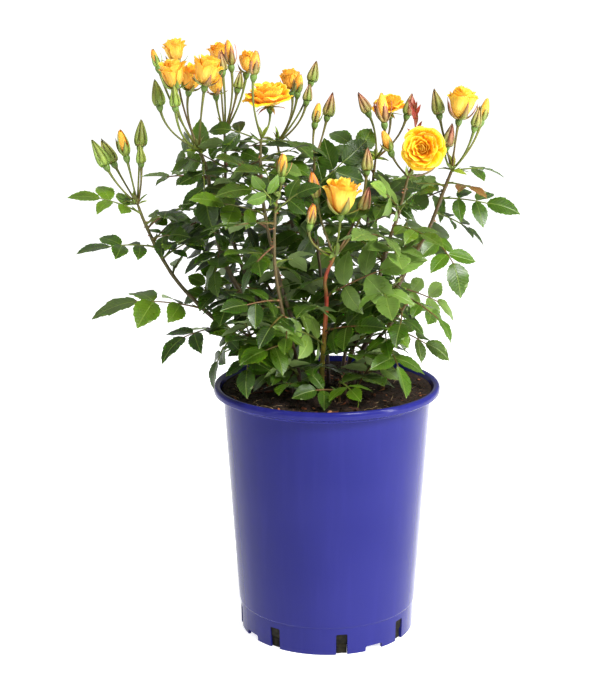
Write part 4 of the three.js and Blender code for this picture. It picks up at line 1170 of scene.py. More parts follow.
leafletSizes = {
    "stations": (0.0, 0.1, 0.23, 0.36, 0.5, 0.64, 0.78, 0.9, 1.0),
    "halfWidth": 0.3, "tooth": 0.018, "toothBack": 0.022, "thickness": 0.008, "bulge": 0.018,
    # fold up to the sides, arch, droop of the tip, wave of the margin, twist, lean of the tip
    "shapes": [
        (0.10, 0.05, 0.04, 0.006, 0.00, 0.00),
        (0.18, 0.04, 0.10, 0.010, 0.06, 0.03),
        (0.04, 0.06, 0.12, 0.012, -0.10, -0.04),
        (0.24, 0.02, 0.00, 0.008, 0.04, 0.02),
        (0.08, 0.07, 0.17, 0.014, 0.12, -0.03),
    ],
    "stipule": 5, "prickle": 6,
}


def leafletWidth(share):
    # half the width of a leaflet's outline: round at its foot, widest below its middle, drawn out to its tip
    oval = math.sin(math.pi * share ** 0.86) ** (0.6 + 0.42 * share)
    return leafletSizes["halfWidth"] * oval


def markRims(mesh, rim):
    ends = np.empty(2 * len(mesh.edges), int)
    mesh.edges.foreach_get("vertices", ends)
    sharp = np.asarray(rim, bool)[ends].reshape(-1, 2).all(axis=1)
    made = mesh.attributes.get("sharp_edge") or mesh.attributes.new("sharp_edge", "BOOLEAN", "EDGE")
    made.data.foreach_set("value", sharp)


def formMesh(name, points, faces, rim, under, blade, spots):
    mesh = newMesh(name, np.array(points) / mm, faces)
    setValues(mesh, "under", "FLOAT", "FACE", under)
    setValues(mesh, "blade", "FLOAT", "FACE", [blade] * len(faces))
    setValues(mesh, "bladeSpot", "FLOAT_VECTOR", "POINT", spots)
    markRims(mesh, rim)
    return bpy.data.objects.new(name, mesh)


def leafletForm(name, shape):
    fold, arch, droop, wave, twist, lean = shape
    sizes = leafletSizes
    points, spots, rim = [], [], []

    def add(share, across, drop=0.0, isRim=False, ripple=0.0, bulge=0.0):
        width = max(leafletWidth(min(share, 0.999)), 0.02)
        rise = fold * abs(across) + arch * 4 * share * (1 - share) - droop * share ** 2
        rise += wave * math.sin(ripple) * min(1, abs(across) / width) + bulge - drop
        y, z = across + lean * share ** 2, rise
        angle = twist * share
        points.append((share, y * math.cos(angle) - z * math.sin(angle), y * math.sin(angle) + z * math.cos(angle)))
        spots.append((across, share, 0))
        rim.append(isRim)
        return len(points) - 1
    stations = sizes["stations"]
    last = len(stations) - 1
    top = [add(s, 0, isRim=i in (0, last)) for i, s in enumerate(stations)]
    low = [top[0]] + [add(s, 0, sizes["thickness"]) for s in stations[1:-1]] + [top[-1]]
    faces, under = [], []
    for side in (1, -1):
        notch, middle, tooth = [], [], []
        for i, s in enumerate(stations):
            if i == last:
                notch.append(top[-1])
                middle.append(top[-1])
                continue
            width = 0.012 if i == 0 else leafletWidth(s) - sizes["tooth"] * 0.4
            notch.append(add(s, side * width, isRim=True, ripple=2.3 * i + side))
            swell = sizes["bulge"] * (1 - s)
            middle.append(top[0] if i == 0 else add(s, side * width / 2, ripple=2.3 * i + side, bulge=swell))
        for i in range(last):
            ahead = stations[i + 1] - sizes["toothBack"]
            width = leafletWidth(ahead) + sizes["tooth"] * (1 if i < last - 1 else 0.3)
            tooth.append(add(ahead, side * width, isRim=True, ripple=2.3 * i + 1.1 + side))
        for i in range(last):
            upper = [[top[i], top[i + 1], middle[i + 1], middle[i]],
                     [middle[i], middle[i + 1], notch[i + 1], tooth[i], notch[i]]]
            lower = [[low[i], low[i + 1], notch[i + 1], tooth[i], notch[i]]]
            for loops, isUnder in ((upper, 0.0), (lower, 1.0)):
                for loop in loops:
                    loop = list(dict.fromkeys(loop))
                    if len(loop) > 2:
                        # the left side's loops run anticlockwise seen from above
                        faces.append(tuple(loop if (side == 1) != (isUnder == 1) else loop[::-1]))
                        under.append(isUnder)
    return formMesh(name, points, faces, rim, under, 1.0, spots)


def stipuleForm(name):
    # the two small green wings at a leaf's foot, one unit long
    points, spots, rim = [], [], []
    for x, y, z in [(0, 0, 0.05), (0.6, 0, 0.12), (0, 0, -0.03), (0.6, 0, 0.0),
                    (0, 0.12, 0), (0.55, 0.3, 0.1), (1.0, 0.42, 0.14), (0.7, 0.12, 0.09),
                    (0, -0.12, 0), (0.55, -0.3, 0.1), (1.0, -0.42, 0.14), (0.7, -0.12, 0.09)]:
        points.append((x, y, z))
        spots.append((y, x, 0))
        rim.append(y != 0)
    faces = [(0, 1, 7, 5, 4), (5, 7, 6), (2, 4, 5, 7, 3), (5, 6, 7), (0, 8, 9, 11, 1), (9, 10, 11),
             (2, 3, 11, 9, 8), (9, 11, 10), (0, 4, 2), (0, 2, 8), (1, 3, 7), (1, 11, 3)]
    under = [0, 0, 1, 1, 0, 0, 1, 1, 1, 1, 1, 1]
    return formMesh(name, points, faces, rim, [float(u) for u in under], 1.0, spots)


def prickleForm(name):
    # a hooked thorn, one unit long, standing on X with its long foot on Z
    points, spots, faces, sides = [], [], [], 6
    for reach, drop, wide, tall in ((-0.15, 0, 0.3, 0.6), (0.1, -0.02, 0.2, 0.4), (0.55, -0.12, 0.08, 0.13)):
        for side in range(sides):
            turn = 2 * math.pi * side / sides
            points.append((reach, wide * math.cos(turn), drop + tall * math.sin(turn)))
    points += [(1.0, 0, -0.35), (-0.2, 0, 0)]
    faces += sleeve(0, sides) + sleeve(sides, sides)
    for side, after in around(sides):
        faces.append((2 * sides + side, 2 * sides + after, 3 * sides))
        faces.append((after, side, 3 * sides + 1))
    spots = [(0, 0, 0)] * len(points)
    return formMesh(name, points, faces, [False] * len(points), [0.0] * len(faces), 0.0, spots)


def growthForms():
    makers = [lambda name, shape=shape: leafletForm(name, shape) for shape in leafletSizes["shapes"]]
    return formsOf("growth", makers + [stipuleForm, prickleForm])


def growthTree():
    # tubes along the paths, small shapes on the points, and solid faces passed on as they are
    tree, given, out = newTree("caneGrowth", {
        "Sides": "Int", "Forms": "Collection", "Stem Finish": "Material", "Leaf Finish": "Material"})
    kind = named(tree, "form", "FLOAT")
    isPath = compared(tree, "LESS_THAN", maths(tree, "ABSOLUTE", maths(tree, "ADD", kind, 1.0)), 0.4)
    isForm = compared(tree, "GREATER_THAN", kind, -0.4)
    isSolid = compared(tree, "LESS_THAN", kind, -1.6)
    lines = nodeOut(tree, "GeometryNodeMeshToCurve", {0: given["Geometry"], "Selection": isPath})
    ring = nodeOut(tree, "GeometryNodeCurvePrimitiveCircle", {"Resolution": given["Sides"], "Radius": 1.0})
    tubes = nodeOut(tree, "GeometryNodeCurveToMesh", {
        "Curve": lines, "Profile Curve": ring, "Scale": named(tree, "thickness", "FLOAT"), "Fill Caps": True})
    tubes = nodeOut(tree, "GeometryNodeSetShadeSmooth", {0: tubes, "Shade Smooth": True})
    placed = nodeOut(tree, "GeometryNodeInstanceOnPoints", {
        "Points": given["Geometry"], "Selection": isForm, "Instance": shapesIn(tree, given["Forms"]),
        "Pick Instance": True, "Instance Index": kind, "Scale": named(tree, "size", "FLOAT_VECTOR"),
        "Rotation": asRotation(tree, named(tree, "turn", "FLOAT_VECTOR"))})
    solids = nodeOut(tree, "GeometryNodeSeparateGeometry", {0: given["Geometry"], "Selection": isSolid})
    done = realized(tree, nodeOut(tree, "GeometryNodeJoinGeometry", {0: [tubes, placed, solids]}))
    done = painted(tree, done, given["Stem Finish"])
    isBlade = compared(tree, "GREATER_THAN", named(tree, "blade", "FLOAT"), 0.5)
    tree.links.new(painted(tree, done, given["Leaf Finish"], isBlade), out.inputs[0])
    return tree


# What one cane's tree works on: path points, placed shapes and the solid faces of its calyxes

def newSource():
    return {"points": [], "edges": [], "faces": [], "form": [], "thickness": [], "turn": [], "size": [], "tint": []}


def addPoint(source, point, form, thickness=0.0, turn=(0, 0, 0), size=(1, 1, 1), tint=(1, 1, 1, 1)):
    for key, value in zip(source, (point, None, None, form, thickness, turn, size, tint)):
        if value is not None:
            source[key].append(value)
    return len(source["points"]) - 1


def addPath(source, points, thicknesses, tints):
    previous = None
    for point, thickness, tint in zip(points, thicknesses, tints):
        here = addPoint(source, point, -1.0, thickness * mm, tint=tint)
        if previous is not None:
            source["edges"].append((previous, here))
        previous = here


def addForm(source, form, point, along, normal, size, tint):
    # the shape's X points along, its Z along the normal; sizes are in millimetres
    side = np.cross(normal, along)
    turn = Matrix((along, side, normal)).transposed().to_euler()
    addPoint(source, point, float(form), turn=tuple(turn), size=tuple(vec(*size) * mm), tint=tint)


def addSolid(source, points, faces, tints):
    first = len(source["points"])
    for point, tint in zip(points, tints):
        addPoint(source, point, -2.0, tint=tint)
    source["faces"] += [tuple(first + corner for corner in face) for face in faces]


def sourceMesh(name, source):
    mesh = newMesh(name, source["points"], source["faces"], source["edges"])
    for key, kind in (("form", "FLOAT"), ("thickness", "FLOAT"), ("turn", "FLOAT_VECTOR"),
                      ("size", "FLOAT_VECTOR"), ("tint", "FLOAT_COLOR")):
        setValues(mesh, key, kind, "POINT", source[key])
    return mesh


# The finishes of stems and leaves

def stemMaterial():
    material, tree, shader = newMaterial("stemSkin", {"Roughness": 0.5, "Specular IOR Level": 0.45})
    spot = place(tree)
    tone = attribute(tree, "tint", "Color")
    blotch = rescaled(tree, noise(tree, spot, 130, 4, 0.6), 0.35, 0.7)
    tone = mixed(tree, 0.55, tone, ramp(tree, blotch, [(0.0, 0.62), (1.0, 1.35)]), "MULTIPLY")
    fleck = rescaled(tree, noise(tree, spot, 650, 2), 0.62, 0.74, 0, 0.4)
    tone = mixed(tree, fleck, tone, (150, 128, 78))
    rough = rescaled(tree, blotch, 0, 1, 0.4, 0.62)
    streak = noise(tree, stretched(tree, spot, (1, 1, 0.25)), 700, 3)
    join(tree, shader, Base_Color=tone, Roughness=rough, Normal=bump(tree, streak, 0.35, 0.0004))
    return material


def leafMaterial():
    material, tree, shader = newMaterial("leafBlade", {
        "Roughness": 0.35, "Specular IOR Level": 0.42, "Subsurface Weight": 0.12,
        "Subsurface Radius": (0.0006, 0.0012, 0.0003), "Subsurface Scale": 1.0})
    spot = place(tree)
    flat = parts(tree, attribute(tree, "bladeSpot", "Vector"))
    across = maths(tree, "ABSOLUTE", flat[0])
    # side veins leave the midrib forward, ten to a side, and bend up towards the margin
    bent = maths(tree, "SUBTRACT", flat[1], maths(tree, "MULTIPLY", maths(tree, "POWER", across, 0.85), 0.62))
    wave = maths(tree, "PINGPONG", maths(tree, "MULTIPLY", bent, 10.5), 0.5)
    vein = rescaled(tree, wave, 0.0, 0.13, 1, 0)
    vein = maths(tree, "MULTIPLY", vein, rescaled(tree, across, 0.2, 0.3, 1, 0.25))
    midrib = rescaled(tree, across, 0.004, 0.02, 1, 0)
    lines = maths(tree, "MAXIMUM", maths(tree, "MULTIPLY", vein, 0.3), midrib)
    under = attribute(tree, "under")
    tone = attribute(tree, "tint", "Color")
    cloud = noise(tree, spot, 70, 4, 0.6)
    tone = mixed(tree, 0.7, tone, ramp(tree, cloud, [(0.3, 0.7), (0.7, 1.25)]), "MULTIPLY")
    tone = mixed(tree, rescaled(tree, noise(tree, spot, 420, 3), 0.5, 0.8, 0, 0.22), tone, (98, 122, 30))
    tone = mixed(tree, maths(tree, "MULTIPLY", lines, 0.34), tone, (146, 166, 74))
    pale = mixed(tree, 0.5, tone, (132, 150, 96))
    tone = mixed(tree, under, tone, pale)
    rough = rescaled(tree, noise(tree, spot, 90, 3), 0.3, 0.7, 0.24, 0.42)
    rough = maths(tree, "ADD", rough, maths(tree, "MULTIPLY", under, 0.25))
    sunk = maths(tree, "SUBTRACT", 1.0, lines)
    cell = noise(tree, spot, 1500, 2)
    normal = bump(tree, cell, 0.15, 0.0002, bump(tree, sunk, 0.55, 0.0004))
    join(tree, shader, Base_Color=tone, Roughness=rough, Normal=normal)
    return material


# Canes, stalks, leaves and the green parts of the flowers

growth = {
    "seed": 97, "caneSteps": 40, "sides": 9, "stalkSteps": 12, "rachisSteps": 9,
    "nodeSwell": 0.16, "prickleEvery": 13, "prickle": (2.2, 4.2), "smallPairFrom": 58,
    "smallPair": (0.2, 0.26, 66), "leafletRoll": 19, "leafletPitch": 14,
    "shoot": (98, 112, 38), "blush": (96, 42, 28), "leafletScale": 1.12, "leafletWide": (0.84, 1.12),
    "prickleFrom": (0.1, 0.95), "wing": (7, 11), "bract": (7, 16),
    # a cane's colour from the soil to its end: place along it, red, green, blue
    "caneTints": [(0, 54, 36, 28), (0.55, 72, 70, 28), (1, 85, 91, 33)],
    "frontTints": [(0, 140, 142, 40), (0.34, 150, 134, 44), (0.46, 158, 84, 40), (0.6, 168, 56, 36),
                   (0.72, 134, 110, 42), (0.86, 164, 58, 38), (1, 140, 120, 44)],
    "oldLeaf": (20, 40, 0), "midLeaf": (62, 92, 8), "youngLeaf": (132, 160, 40), "redLeaf": (116, 50, 30),
    # a paler green painted on some leaves as sheen, where the light falls on them
    "paintedSheenLeaf": (110, 136, 66),
    "youngOver": 300, "topFrom": 0.86,
    # x from where leaves may get a painted sheen, paler as if lit, low ones too, and most of them; the draws that
    # this takes
    "paintedSheenFrom": (-60, 20, 50), "paintedSheenDraw": (0.84, 0.55),
    "redFrom": (60, 400), "redDraw": 0.45,  # x and height from where young leaves may be red
    "sepal": (118, 148, 52), "sepalTip": (176, 104, 84), "hip": (92, 120, 44), "greenLeftOf": -120,
    "shutBuds": "front",  # the cane whose red buds are still wrapped in their sepals
    "forms": {
        5: {"pairs": [(0.22, 0.29, 70), (0.46, 0.35, 62)], "end": 0.6},
        3: {"pairs": [(0.4, 0.42, 64)], "end": 0.56},
    },
    # a seedling in the soil: its foot and its height
    "seedling": (27, -67, 230), "seedlingHeight": 7,
    # a red young shoot behind the biggest bloom: its cane, its line, its leaflets
    "redShoot": {"cane": "right_inner", "line": [(72, -24, 429), (80, -8, 452), (79, 2, 476), (78, 4, 484)],
                 "leaflets": 9, "length": (11, 17), "tone": (150, 34, 20)},
}


def tintOf(first, second, share):
    return screenColour(*[min(max(a + (b - a) * share, 0), 255) for a, b in zip(first, second)])


def squareTo(axis):
    hint = vec(0, 1, 0) if abs(axis[1]) < 0.8 else vec(1, 0, 0)
    first = square(axis, hint)
    return first, np.cross(axis, first)


def outFrom(axis, turn):
    first, second = squareTo(axis)
    return first * math.cos(turn) + second * math.sin(turn)


def addCane(source, cane, draw):
    nodes = [leaf["at"] for leaf in leaves if leaf["cane"] == cane["number"]]
    shares = np.linspace(0, 1, growth["caneSteps"] + 1)
    points = [onCurve(cane["path"], share) for share in shares]
    isFront = cane["name"] == "front"
    stops = np.array(growth["frontTints" if isFront else "caneTints"], float)
    blush = draw() * (0.2 if isFront else 1)
    thicknesses, tints = [], []
    for share in shares:
        swell = sum(math.exp(-((share - node) / 0.012) ** 2) for node in nodes)
        thicknesses.append(caneRadius(cane, share) * (1 + growth["nodeSwell"] * min(swell, 1)))
        tone = [np.interp(share, stops[:, 0], stops[:, channel]) for channel in (1, 2, 3)]
        tints.append(tintOf(tone, growth["blush"], 0.5 * blush * share ** 0.5))
    thicknesses[-1] *= 0.7
    addPath(source, points, thicknesses, tints)
    length = sum(np.linalg.norm(b - a) for a, b in zip(points, points[1:]))
    for _ in range(int(length / growth["prickleEvery"])):
        share, turn = blend(*growth["prickleFrom"], draw()), 2 * math.pi * draw()
        here, ahead = onCurve(cane["path"], share), onCurve(cane["path"], min(share + 0.01, 1))
        if here[2] < plant["soilTop"] + 4:
            continue
        along = unit(ahead - here)
        out = outFrom(along, turn)
        size = blend(*growth["prickle"], draw()) * (1.1 - 0.4 * share)
        addForm(source, leafletSizes["prickle"], here + out * caneRadius(cane, share) * 0.9, out, along,
                (size, size * 0.7, size * 0.7), tintOf((150, 74, 50), (176, 128, 84), draw()))


def leafTone(leaf, draw):
    pick, height = draw(), leaf["tip"][2]
    old = blend(np.array(growth["oldLeaf"]), np.array(growth["midLeaf"]), pick)
    isTop = leaf["at"] > growth["topFrom"] and height > growth["youngOver"]
    young = 0.05 + 0.5 * draw() ** 2 if isTop else 0.4 * draw() ** 5
    tone = blend(old, np.array(growth["youngLeaf"]), young)
    # painted sheen: leaves at the right, and some in the upper middle, are made paler, as where the light falls on
    # them
    side, (left, low, bright) = leaf["tip"][0], growth["paintedSheenFrom"]
    hasPaintedSheen = draw() > growth["paintedSheenDraw"][side > bright]
    if hasPaintedSheen and side > left and (height > growth["youngOver"] or side > low):
        tone = blend(tone, np.array(growth["paintedSheenLeaf"]), 0.7)
    if isTop and side > growth["redFrom"][0] and height > growth["redFrom"][1] and draw() > growth["redDraw"]:
        tone = blend(tone, np.array(growth["redLeaf"]), 0.7)
    return tone


def addLeaf(source, leaf, draw):
    framed = leafFrame(leaf)
    length, at = framed
    form = growth["forms"][leaf["leaflets"]]
    places = leafletPlaces(framed, form)
    if leaf["leaflets"] == 3 and length > growth["smallPairFrom"]:
        places = leafletPlaces(framed, {"pairs": [growth["smallPair"]], "end": form["end"]})[:2] + places
    shares = np.linspace(0, form["end"] + 0.03, growth["rachisSteps"])
    thicknesses = [max(0.42, 0.85 - 0.5 * share) + 0.55 * math.exp(-(share / 0.06) ** 2) for share in shares]
    stalk = tintOf(growth["shoot"], growth["blush"], 0.8 * draw() ** 2)
    addPath(source, [at(share)[0] for share in shares], thicknesses, [stalk] * len(shares))
    tone = leafTone(leaf, draw)
    point, along, normal, _ = at(0.05)
    wing = blend(*growth["wing"], draw())
    addForm(source, leafletSizes["stipule"], point + normal * 0.4, along, normal, (wing, wing * 0.6, wing),
            tintOf(tone, growth["youngLeaf"], 0.4))
    for foot, way, normal, size in places:
        roll = math.radians(aboutZero(draw, growth["leafletRoll"]))
        pitch = math.radians(aboutZero(draw, growth["leafletPitch"]))
        side = np.cross(normal, way)
        way = unit(way * math.cos(pitch) - normal * math.sin(pitch))
        normal = square(way, normal * math.cos(roll) + side * math.sin(roll))
        shape = int(draw() * len(leafletSizes["shapes"]))
        size = size * growth["leafletScale"]
        wide = blend(*growth["leafletWide"], draw())
        lit = tuple(tone * (0.88 + 0.24 * draw()))
        addForm(source, shape, foot, way, normal, (size, size * wide, size), tintOf(lit, lit, 0))


def addTurned(source, flower, profile, tints, ribs=0.0):
    # profile is (height, radius) from pole to pole
    foot, axis, sides = flower["foot"], flower["axis"], calyxSizes["sides"]
    first, second = squareTo(axis)
    points, faces, colours = [foot + axis * profile[0][0]], [], [tints[0]]
    for (height, radius), tint in zip(profile[1:-1], tints[1:-1]):
        for side in range(sides):
            turn = 2 * math.pi * side / sides
            reach = radius * (1 + ribs * math.cos(5 * turn))
            points.append(foot + axis * height + first * reach * math.cos(turn) + second * reach * math.sin(turn))
            colours.append(tint)
    points.append(foot + axis * profile[-1][0])
    colours.append(tints[-1])
    last, rings = len(points) - 1, len(profile) - 2
    for side, after in around(sides):
        faces.append((0, 1 + after, 1 + side))
        for ring in range(rings - 1):
            a, b = 1 + ring * sides + side, 1 + ring * sides + after
            faces.append((a, b, b + sides, a + sides))
        faces.append((1 + (rings - 1) * sides + side, 1 + (rings - 1) * sides + after, last))
    addSolid(source, points, faces, colours)


def bezier(line, share):
    # a point and its direction on a curve with four handles, for many shares at once
    share = np.asarray(share, float)[..., None]
    a, b, c, d = [np.asarray(handle, float) for handle in line]
    rest = 1 - share
    point = a * rest ** 3 + 3 * b * rest ** 2 * share + 3 * c * rest * share ** 2 + d * share ** 3
    way = 3 * (b - a) * rest ** 2 + 6 * (c - b) * rest * share + 3 * (d - c) * share ** 2
    return point, way


def closedShell(middle, normals, thickness):
    # two faces of a thin sheet that meet along its margin: points, faces, margin flags, back flags, grid places
    rows, columns = middle.shape[:2]
    margin = np.ones((rows, columns), bool)
    margin[1:-1, 1:-1] = False
    points = np.where(margin[..., None], middle, middle + normals * thickness / 2).reshape(-1, 3)
    front = np.arange(rows * columns).reshape(rows, columns)
    back = front.copy()
    inner = middle[1:-1, 1:-1] - normals[1:-1, 1:-1] * thickness / 2
    back[1:-1, 1:-1] = rows * columns + np.arange(inner.shape[0] * inner.shape[1]).reshape(inner.shape[:2])
    points = np.concatenate([points, inner.reshape(-1, 3)])
    cell = [(slice(0, -1), slice(0, -1)), (slice(0, -1), slice(1, None)), (slice(1, None), slice(1, None)),
            (slice(1, None), slice(0, -1))]
    row, column = rows // 2 - 1, columns // 2 - 1
    edge = np.cross(middle[row, column + 1] - middle[row, column], middle[row + 1, column] - middle[row, column])
    ahead = np.dot(edge, normals[row, column]) > 0
    frontFaces = np.stack([front[c] for c in cell], -1).reshape(-1, 4)
    backFaces = np.stack([back[c] for c in cell], -1).reshape(-1, 4)
    frontFaces = frontFaces if ahead else frontFaces[:, ::-1]
    backFaces = backFaces[:, ::-1] if ahead else backFaces
    faces = np.concatenate([frontFaces, backFaces])
    rim = np.concatenate([margin.ravel(), np.zeros(inner.shape[0] * inner.shape[1], bool)])
    isBack = np.concatenate([np.zeros(len(frontFaces)), np.ones(len(backFaces))])
    grid = np.stack(np.meshgrid(np.linspace(-1, 1, columns), np.linspace(0, 1, rows)), -1)
    spots = np.concatenate([grid.reshape(-1, 2), grid[1:-1, 1:-1].reshape(-1, 2)])
    return points, faces, rim, isBack, spots


def petalSurface(foot, axis, azimuth, line, width, petal):
    # A petal or sepal round a flower's axis. line runs (radius, height) from its root to its rim, width gives
    # half its width there, and petal holds how it cups, rolls back and ruffles.
    rows, columns = petal["grid"]
    out = outFrom(axis, azimuth)
    side = np.cross(axis, out)
    across = np.linspace(-1, 1, columns)[None, :]
    reach = 1 - petal["cornerCut"] * np.abs(across) ** 2.6 + petal["point"] * np.exp(-(across / 0.22) ** 2)
    share = np.linspace(0, 1, rows)[:, None] * reach
    centre, way = bezier(line, share)
    way /= np.maximum(np.linalg.norm(way, axis=-1, keepdims=True), 1e-9)
    inwards = np.stack([-way[..., 1], way[..., 0]], -1)
    bend = np.maximum(np.abs(centre[..., 0]) * petal["cup"], petal["leastBend"])
    angle = np.clip(across * width(share) / bend, -2.8, 2.8)
    lift = bend * (1 - np.cos(angle))
    edge = np.clip((np.abs(across) - 0.5) / 0.5, 0, 1) ** 2 * share
    top = np.clip((share - 0.72) / 0.28, 0, 1) ** 2
    lift = lift - petal["roll"] * (edge + top)
    lift = lift + petal["ruffle"] * share ** 2 * np.sin(petal["waves"] * across + petal["phase"])
    lift = lift + petal["ruffle"] * 0.6 * share * np.sin(5 * share + 1.7 * across + 2 * petal["phase"])
    radius = centre[..., 0] + inwards[..., 0] * lift
    height = centre[..., 1] + inwards[..., 1] * lift
    aside = bend * np.sin(angle)
    middle = (foot + axis * height[..., None] + out * radius[..., None] + side * aside[..., None])
    along = np.gradient(middle, axis=0)
    sideways = np.gradient(middle, axis=1)
    normals = np.cross(sideways, along)
    normals /= np.maximum(np.linalg.norm(normals, axis=-1, keepdims=True), 1e-9)
    facing = out * inwards[rows // 2, columns // 2, 0] + axis * inwards[rows // 2, columns // 2, 1]
    if np.dot(normals[rows // 2, columns // 2], facing) < 0:
        normals = -normals
    return middle, normals


def flowerOf(cane, entry):
    foot, tip = vec(*entry[1]), vec(*entry[2])
    return {"kind": entry[0], "foot": foot, "axis": unit(tip - foot),
            "size": np.linalg.norm(tip - foot) / plant["nominalBloom"],
            "isShut": entry[0] == "bud" and cane["name"] == growth["shutBuds"]}


sepalLook = {
    "count": 5, "turn": 56, "thickness": 0.5, "grid": (9, 3),
    "line": {
        # four handles of (radius, height), from a sepal's foot to its tip
        "bud": [(2.7, 3.9), (6.6, 9), (6.6, 17), (1.4, 29)],
        "half": [(2.1, 4.3), (9.6, 5.5), (11.4, 12), (12.6, 21)],
        "open": [(2.1, 4.3), (6.0, 3.6), (11.0, 5.0), (15.5, 0.5)],
    },
    "halfWidth": {"bud": 3.6, "half": 3.6, "open": 2.8, "closed": 0.84},
}

# The hip under a flower, as (height, radius), and a closed bud, as shares of its length and of its half width
calyxSizes = {
    "sides": 10, "closedShare": 0.26, "closedMost": 6.2, "ribs": 0.03,
    "hip": [(-2.6, 0), (-2.0, 1.2), (-0.8, 2.0), (0.8, 2.8), (2.4, 3.25), (3.7, 3.2), (4.6, 2.9), (5.1, 2.7),
            (5.2, 0)],
    "foot": [(4, 0), (4.3, 2.4)],
    "closed": [(0.22, 0.78), (0.32, 0.9), (0.42, 0.9), (0.52, 0.8), (0.64, 0.6), (0.76, 0.36), (0.88, 0)],
}


def closedWidth(length):
    return min(calyxSizes["closedShare"] * length, calyxSizes["closedMost"])


def addSepals(source, flower, draw):
    kind, size = flower["kind"], flower["size"]
    length = plant["nominalBloom"] * size
    pink = (0.6 + 0.9 * draw()) * (0.25 if flower["foot"][0] < growth["greenLeftOf"] else 1)
    pink += 0.7 * flower["isShut"]
    for number in range(sepalLook["count"]):
        azimuth = math.radians(sepalLook["turn"] + 360 / sepalLook["count"] * number)
        loose = draw() * (not flower["isShut"])
        if kind == "closed":
            wide = closedWidth(length)
            reach = length + 1.5 + 2.5 * draw()
            line = [(2.8, 3.6), (wide * 1.55, 0.22 * length), (wide * 0.8, 0.74 * length), (0.2 + 0.5 * loose, reach)]
            half = wide * sepalLook["halfWidth"]["closed"]
            bend = 0.8
        elif kind == "bud":
            scale = max(size, 0.7)
            line = [vec(2.1, 4.3)] + [vec(*handle) * scale for handle in sepalLook["line"]["bud"][1:]]
            if loose > 0.45:
                line[2] = line[2] + vec(2.6, -1.5) * loose * scale
                line[3] = line[3] + vec(8.5, -9) * loose * scale
            half = sepalLook["halfWidth"]["bud"] * scale
            bend = 1.0
        else:
            line = [vec(*handle) for handle in sepalLook["line"][kind]]
            fallen = draw() ** 2 if kind == "half" else 0  # some sepals have dropped away from the petals
            line[2] = line[2] + vec(1.5, -5) * fallen
            line[3] = line[3] + vec(aboutZero(draw, 1.5) + 4 * fallen, aboutZero(draw, 2) - 15 * fallen)
            line = [line[0]] + [handle * size for handle in line[1:]]
            half = sepalLook["halfWidth"][kind] * size
            bend = 1.2

        def width(share, half=half):
            share = np.clip(share, 0, 1)
            return half * (1.9 * (share + 0.06) ** 0.4 * (1 - share) ** 1.1 + 0.05)
        petal = {"grid": sepalLook["grid"], "cornerCut": 0.0, "point": 0.0, "cup": bend, "leastBend": 2.0,
                 "roll": 0.0, "ruffle": 0.25, "waves": 2.0, "phase": 6 * draw()}
        middle, normals = petalSurface(flower["foot"], flower["axis"], azimuth, line, width, petal)
        points, faces, _, _, spots = closedShell(middle, normals, sepalLook["thickness"])
        brown = draw() ** 2
        reds = [pink * (brown * 0.5 + 0.6 * along ** 2 + 0.15 * abs(across)) for across, along in spots]
        tints = [tintOf(growth["sepal"], growth["sepalTip"], min(1, red)) for red in reds]
        addSolid(source, points, faces, tints)


def addCalyx(source, cane, entry, draw):
    flower = flowerOf(cane, entry)
    path = stalkPath(cane, entry, np.linspace(0, 1, growth["stalkSteps"]))
    redness = draw()
    thicknesses, tints = [], []
    for share in np.linspace(0, 1, growth["stalkSteps"]):
        waist, collar = math.sin(math.pi * min(share * 1.1, 1)), max(0, share - 0.85)
        thicknesses.append(1.25 - 0.45 * waist * 0.8 + 0.35 * collar * 4)
        tints.append(tintOf(growth["shoot"], growth["blush"], redness * (0.7 - 0.4 * share)))
    addPath(source, path, thicknesses, tints)
    along = unit(path[2] - path[0])
    for _ in range(2 + int(2 * draw())):
        # a small bract where the stalk leaves the cane
        out = outFrom(along, 2 * math.pi * draw())
        way = unit(out + along * 0.9)
        size = blend(*growth["bract"], draw())
        addForm(source, 1, path[0] + out * 0.8, way, square(way, along), (size, size / 2, size),
                tintOf(growth["youngLeaf"], growth["redLeaf"], 0.6 * draw() ** 2))
    green, dark = screenColour(*growth["hip"]), tintOf(growth["hip"], growth["blush"], 0.5 * redness)
    addTurned(source, flower, calyxSizes["hip"], [dark] * 3 + [green] * 6)
    if flower["kind"] == "closed":
        length = plant["nominalBloom"] * flower["size"]
        wide = closedWidth(length)
        body = calyxSizes["foot"] + [(rise * length, reach * wide) for rise, reach in calyxSizes["closed"]]
        tint = tintOf(growth["hip"], growth["sepalTip"], 0.5 * draw())
        addTurned(source, flower, body, [tint] * len(body), calyxSizes["ribs"])
    addSepals(source, flower, draw)


def addSeedling(source, draw):
    foot = vec(*growth["seedling"])
    top = foot + vec(1, -1, growth["seedlingHeight"])
    pale = tintOf(growth["youngLeaf"], (170, 190, 80), 0.5)
    addPath(source, [foot - vec(0, 0, 3), blend(foot, top, 0.5) + vec(0.6, 0, 0), top], [0.4, 0.35, 0.3], [pale] * 3)
    for number in range(4):
        turn = math.radians(90 * number + 25 * draw())
        way = towards(turn, math.radians(25))
        addForm(source, 0, top, way, square(way, vec(0, 0, 1)), (4.5 + draw(), 4.5, 4.5), pale)


def addRedShoot(source, draw):
    shoot = growth["redShoot"]
    shares = np.linspace(0, 1, 9)
    red = tintOf(shoot["tone"], growth["shoot"], 0.25)
    addPath(source, [onCurve(shoot["line"], share) for share in shares], 1.3 - 0.7 * shares, [red] * len(shares))
    for number in range(shoot["leaflets"]):
        share = 0.35 + 0.65 * number / (shoot["leaflets"] - 1)
        way = towards(math.radians(144 * number + 30 * draw()), math.radians(35 + 40 * share))
        size = blend(*shoot["length"], draw())
        addForm(source, number % 5, onCurve(shoot["line"], min(share, 1)), way, square(way, vec(0, -1, 0.6)),
                (size, size * 0.42, size), tintOf(shoot["tone"], growth["blush"], 0.8 * draw()))


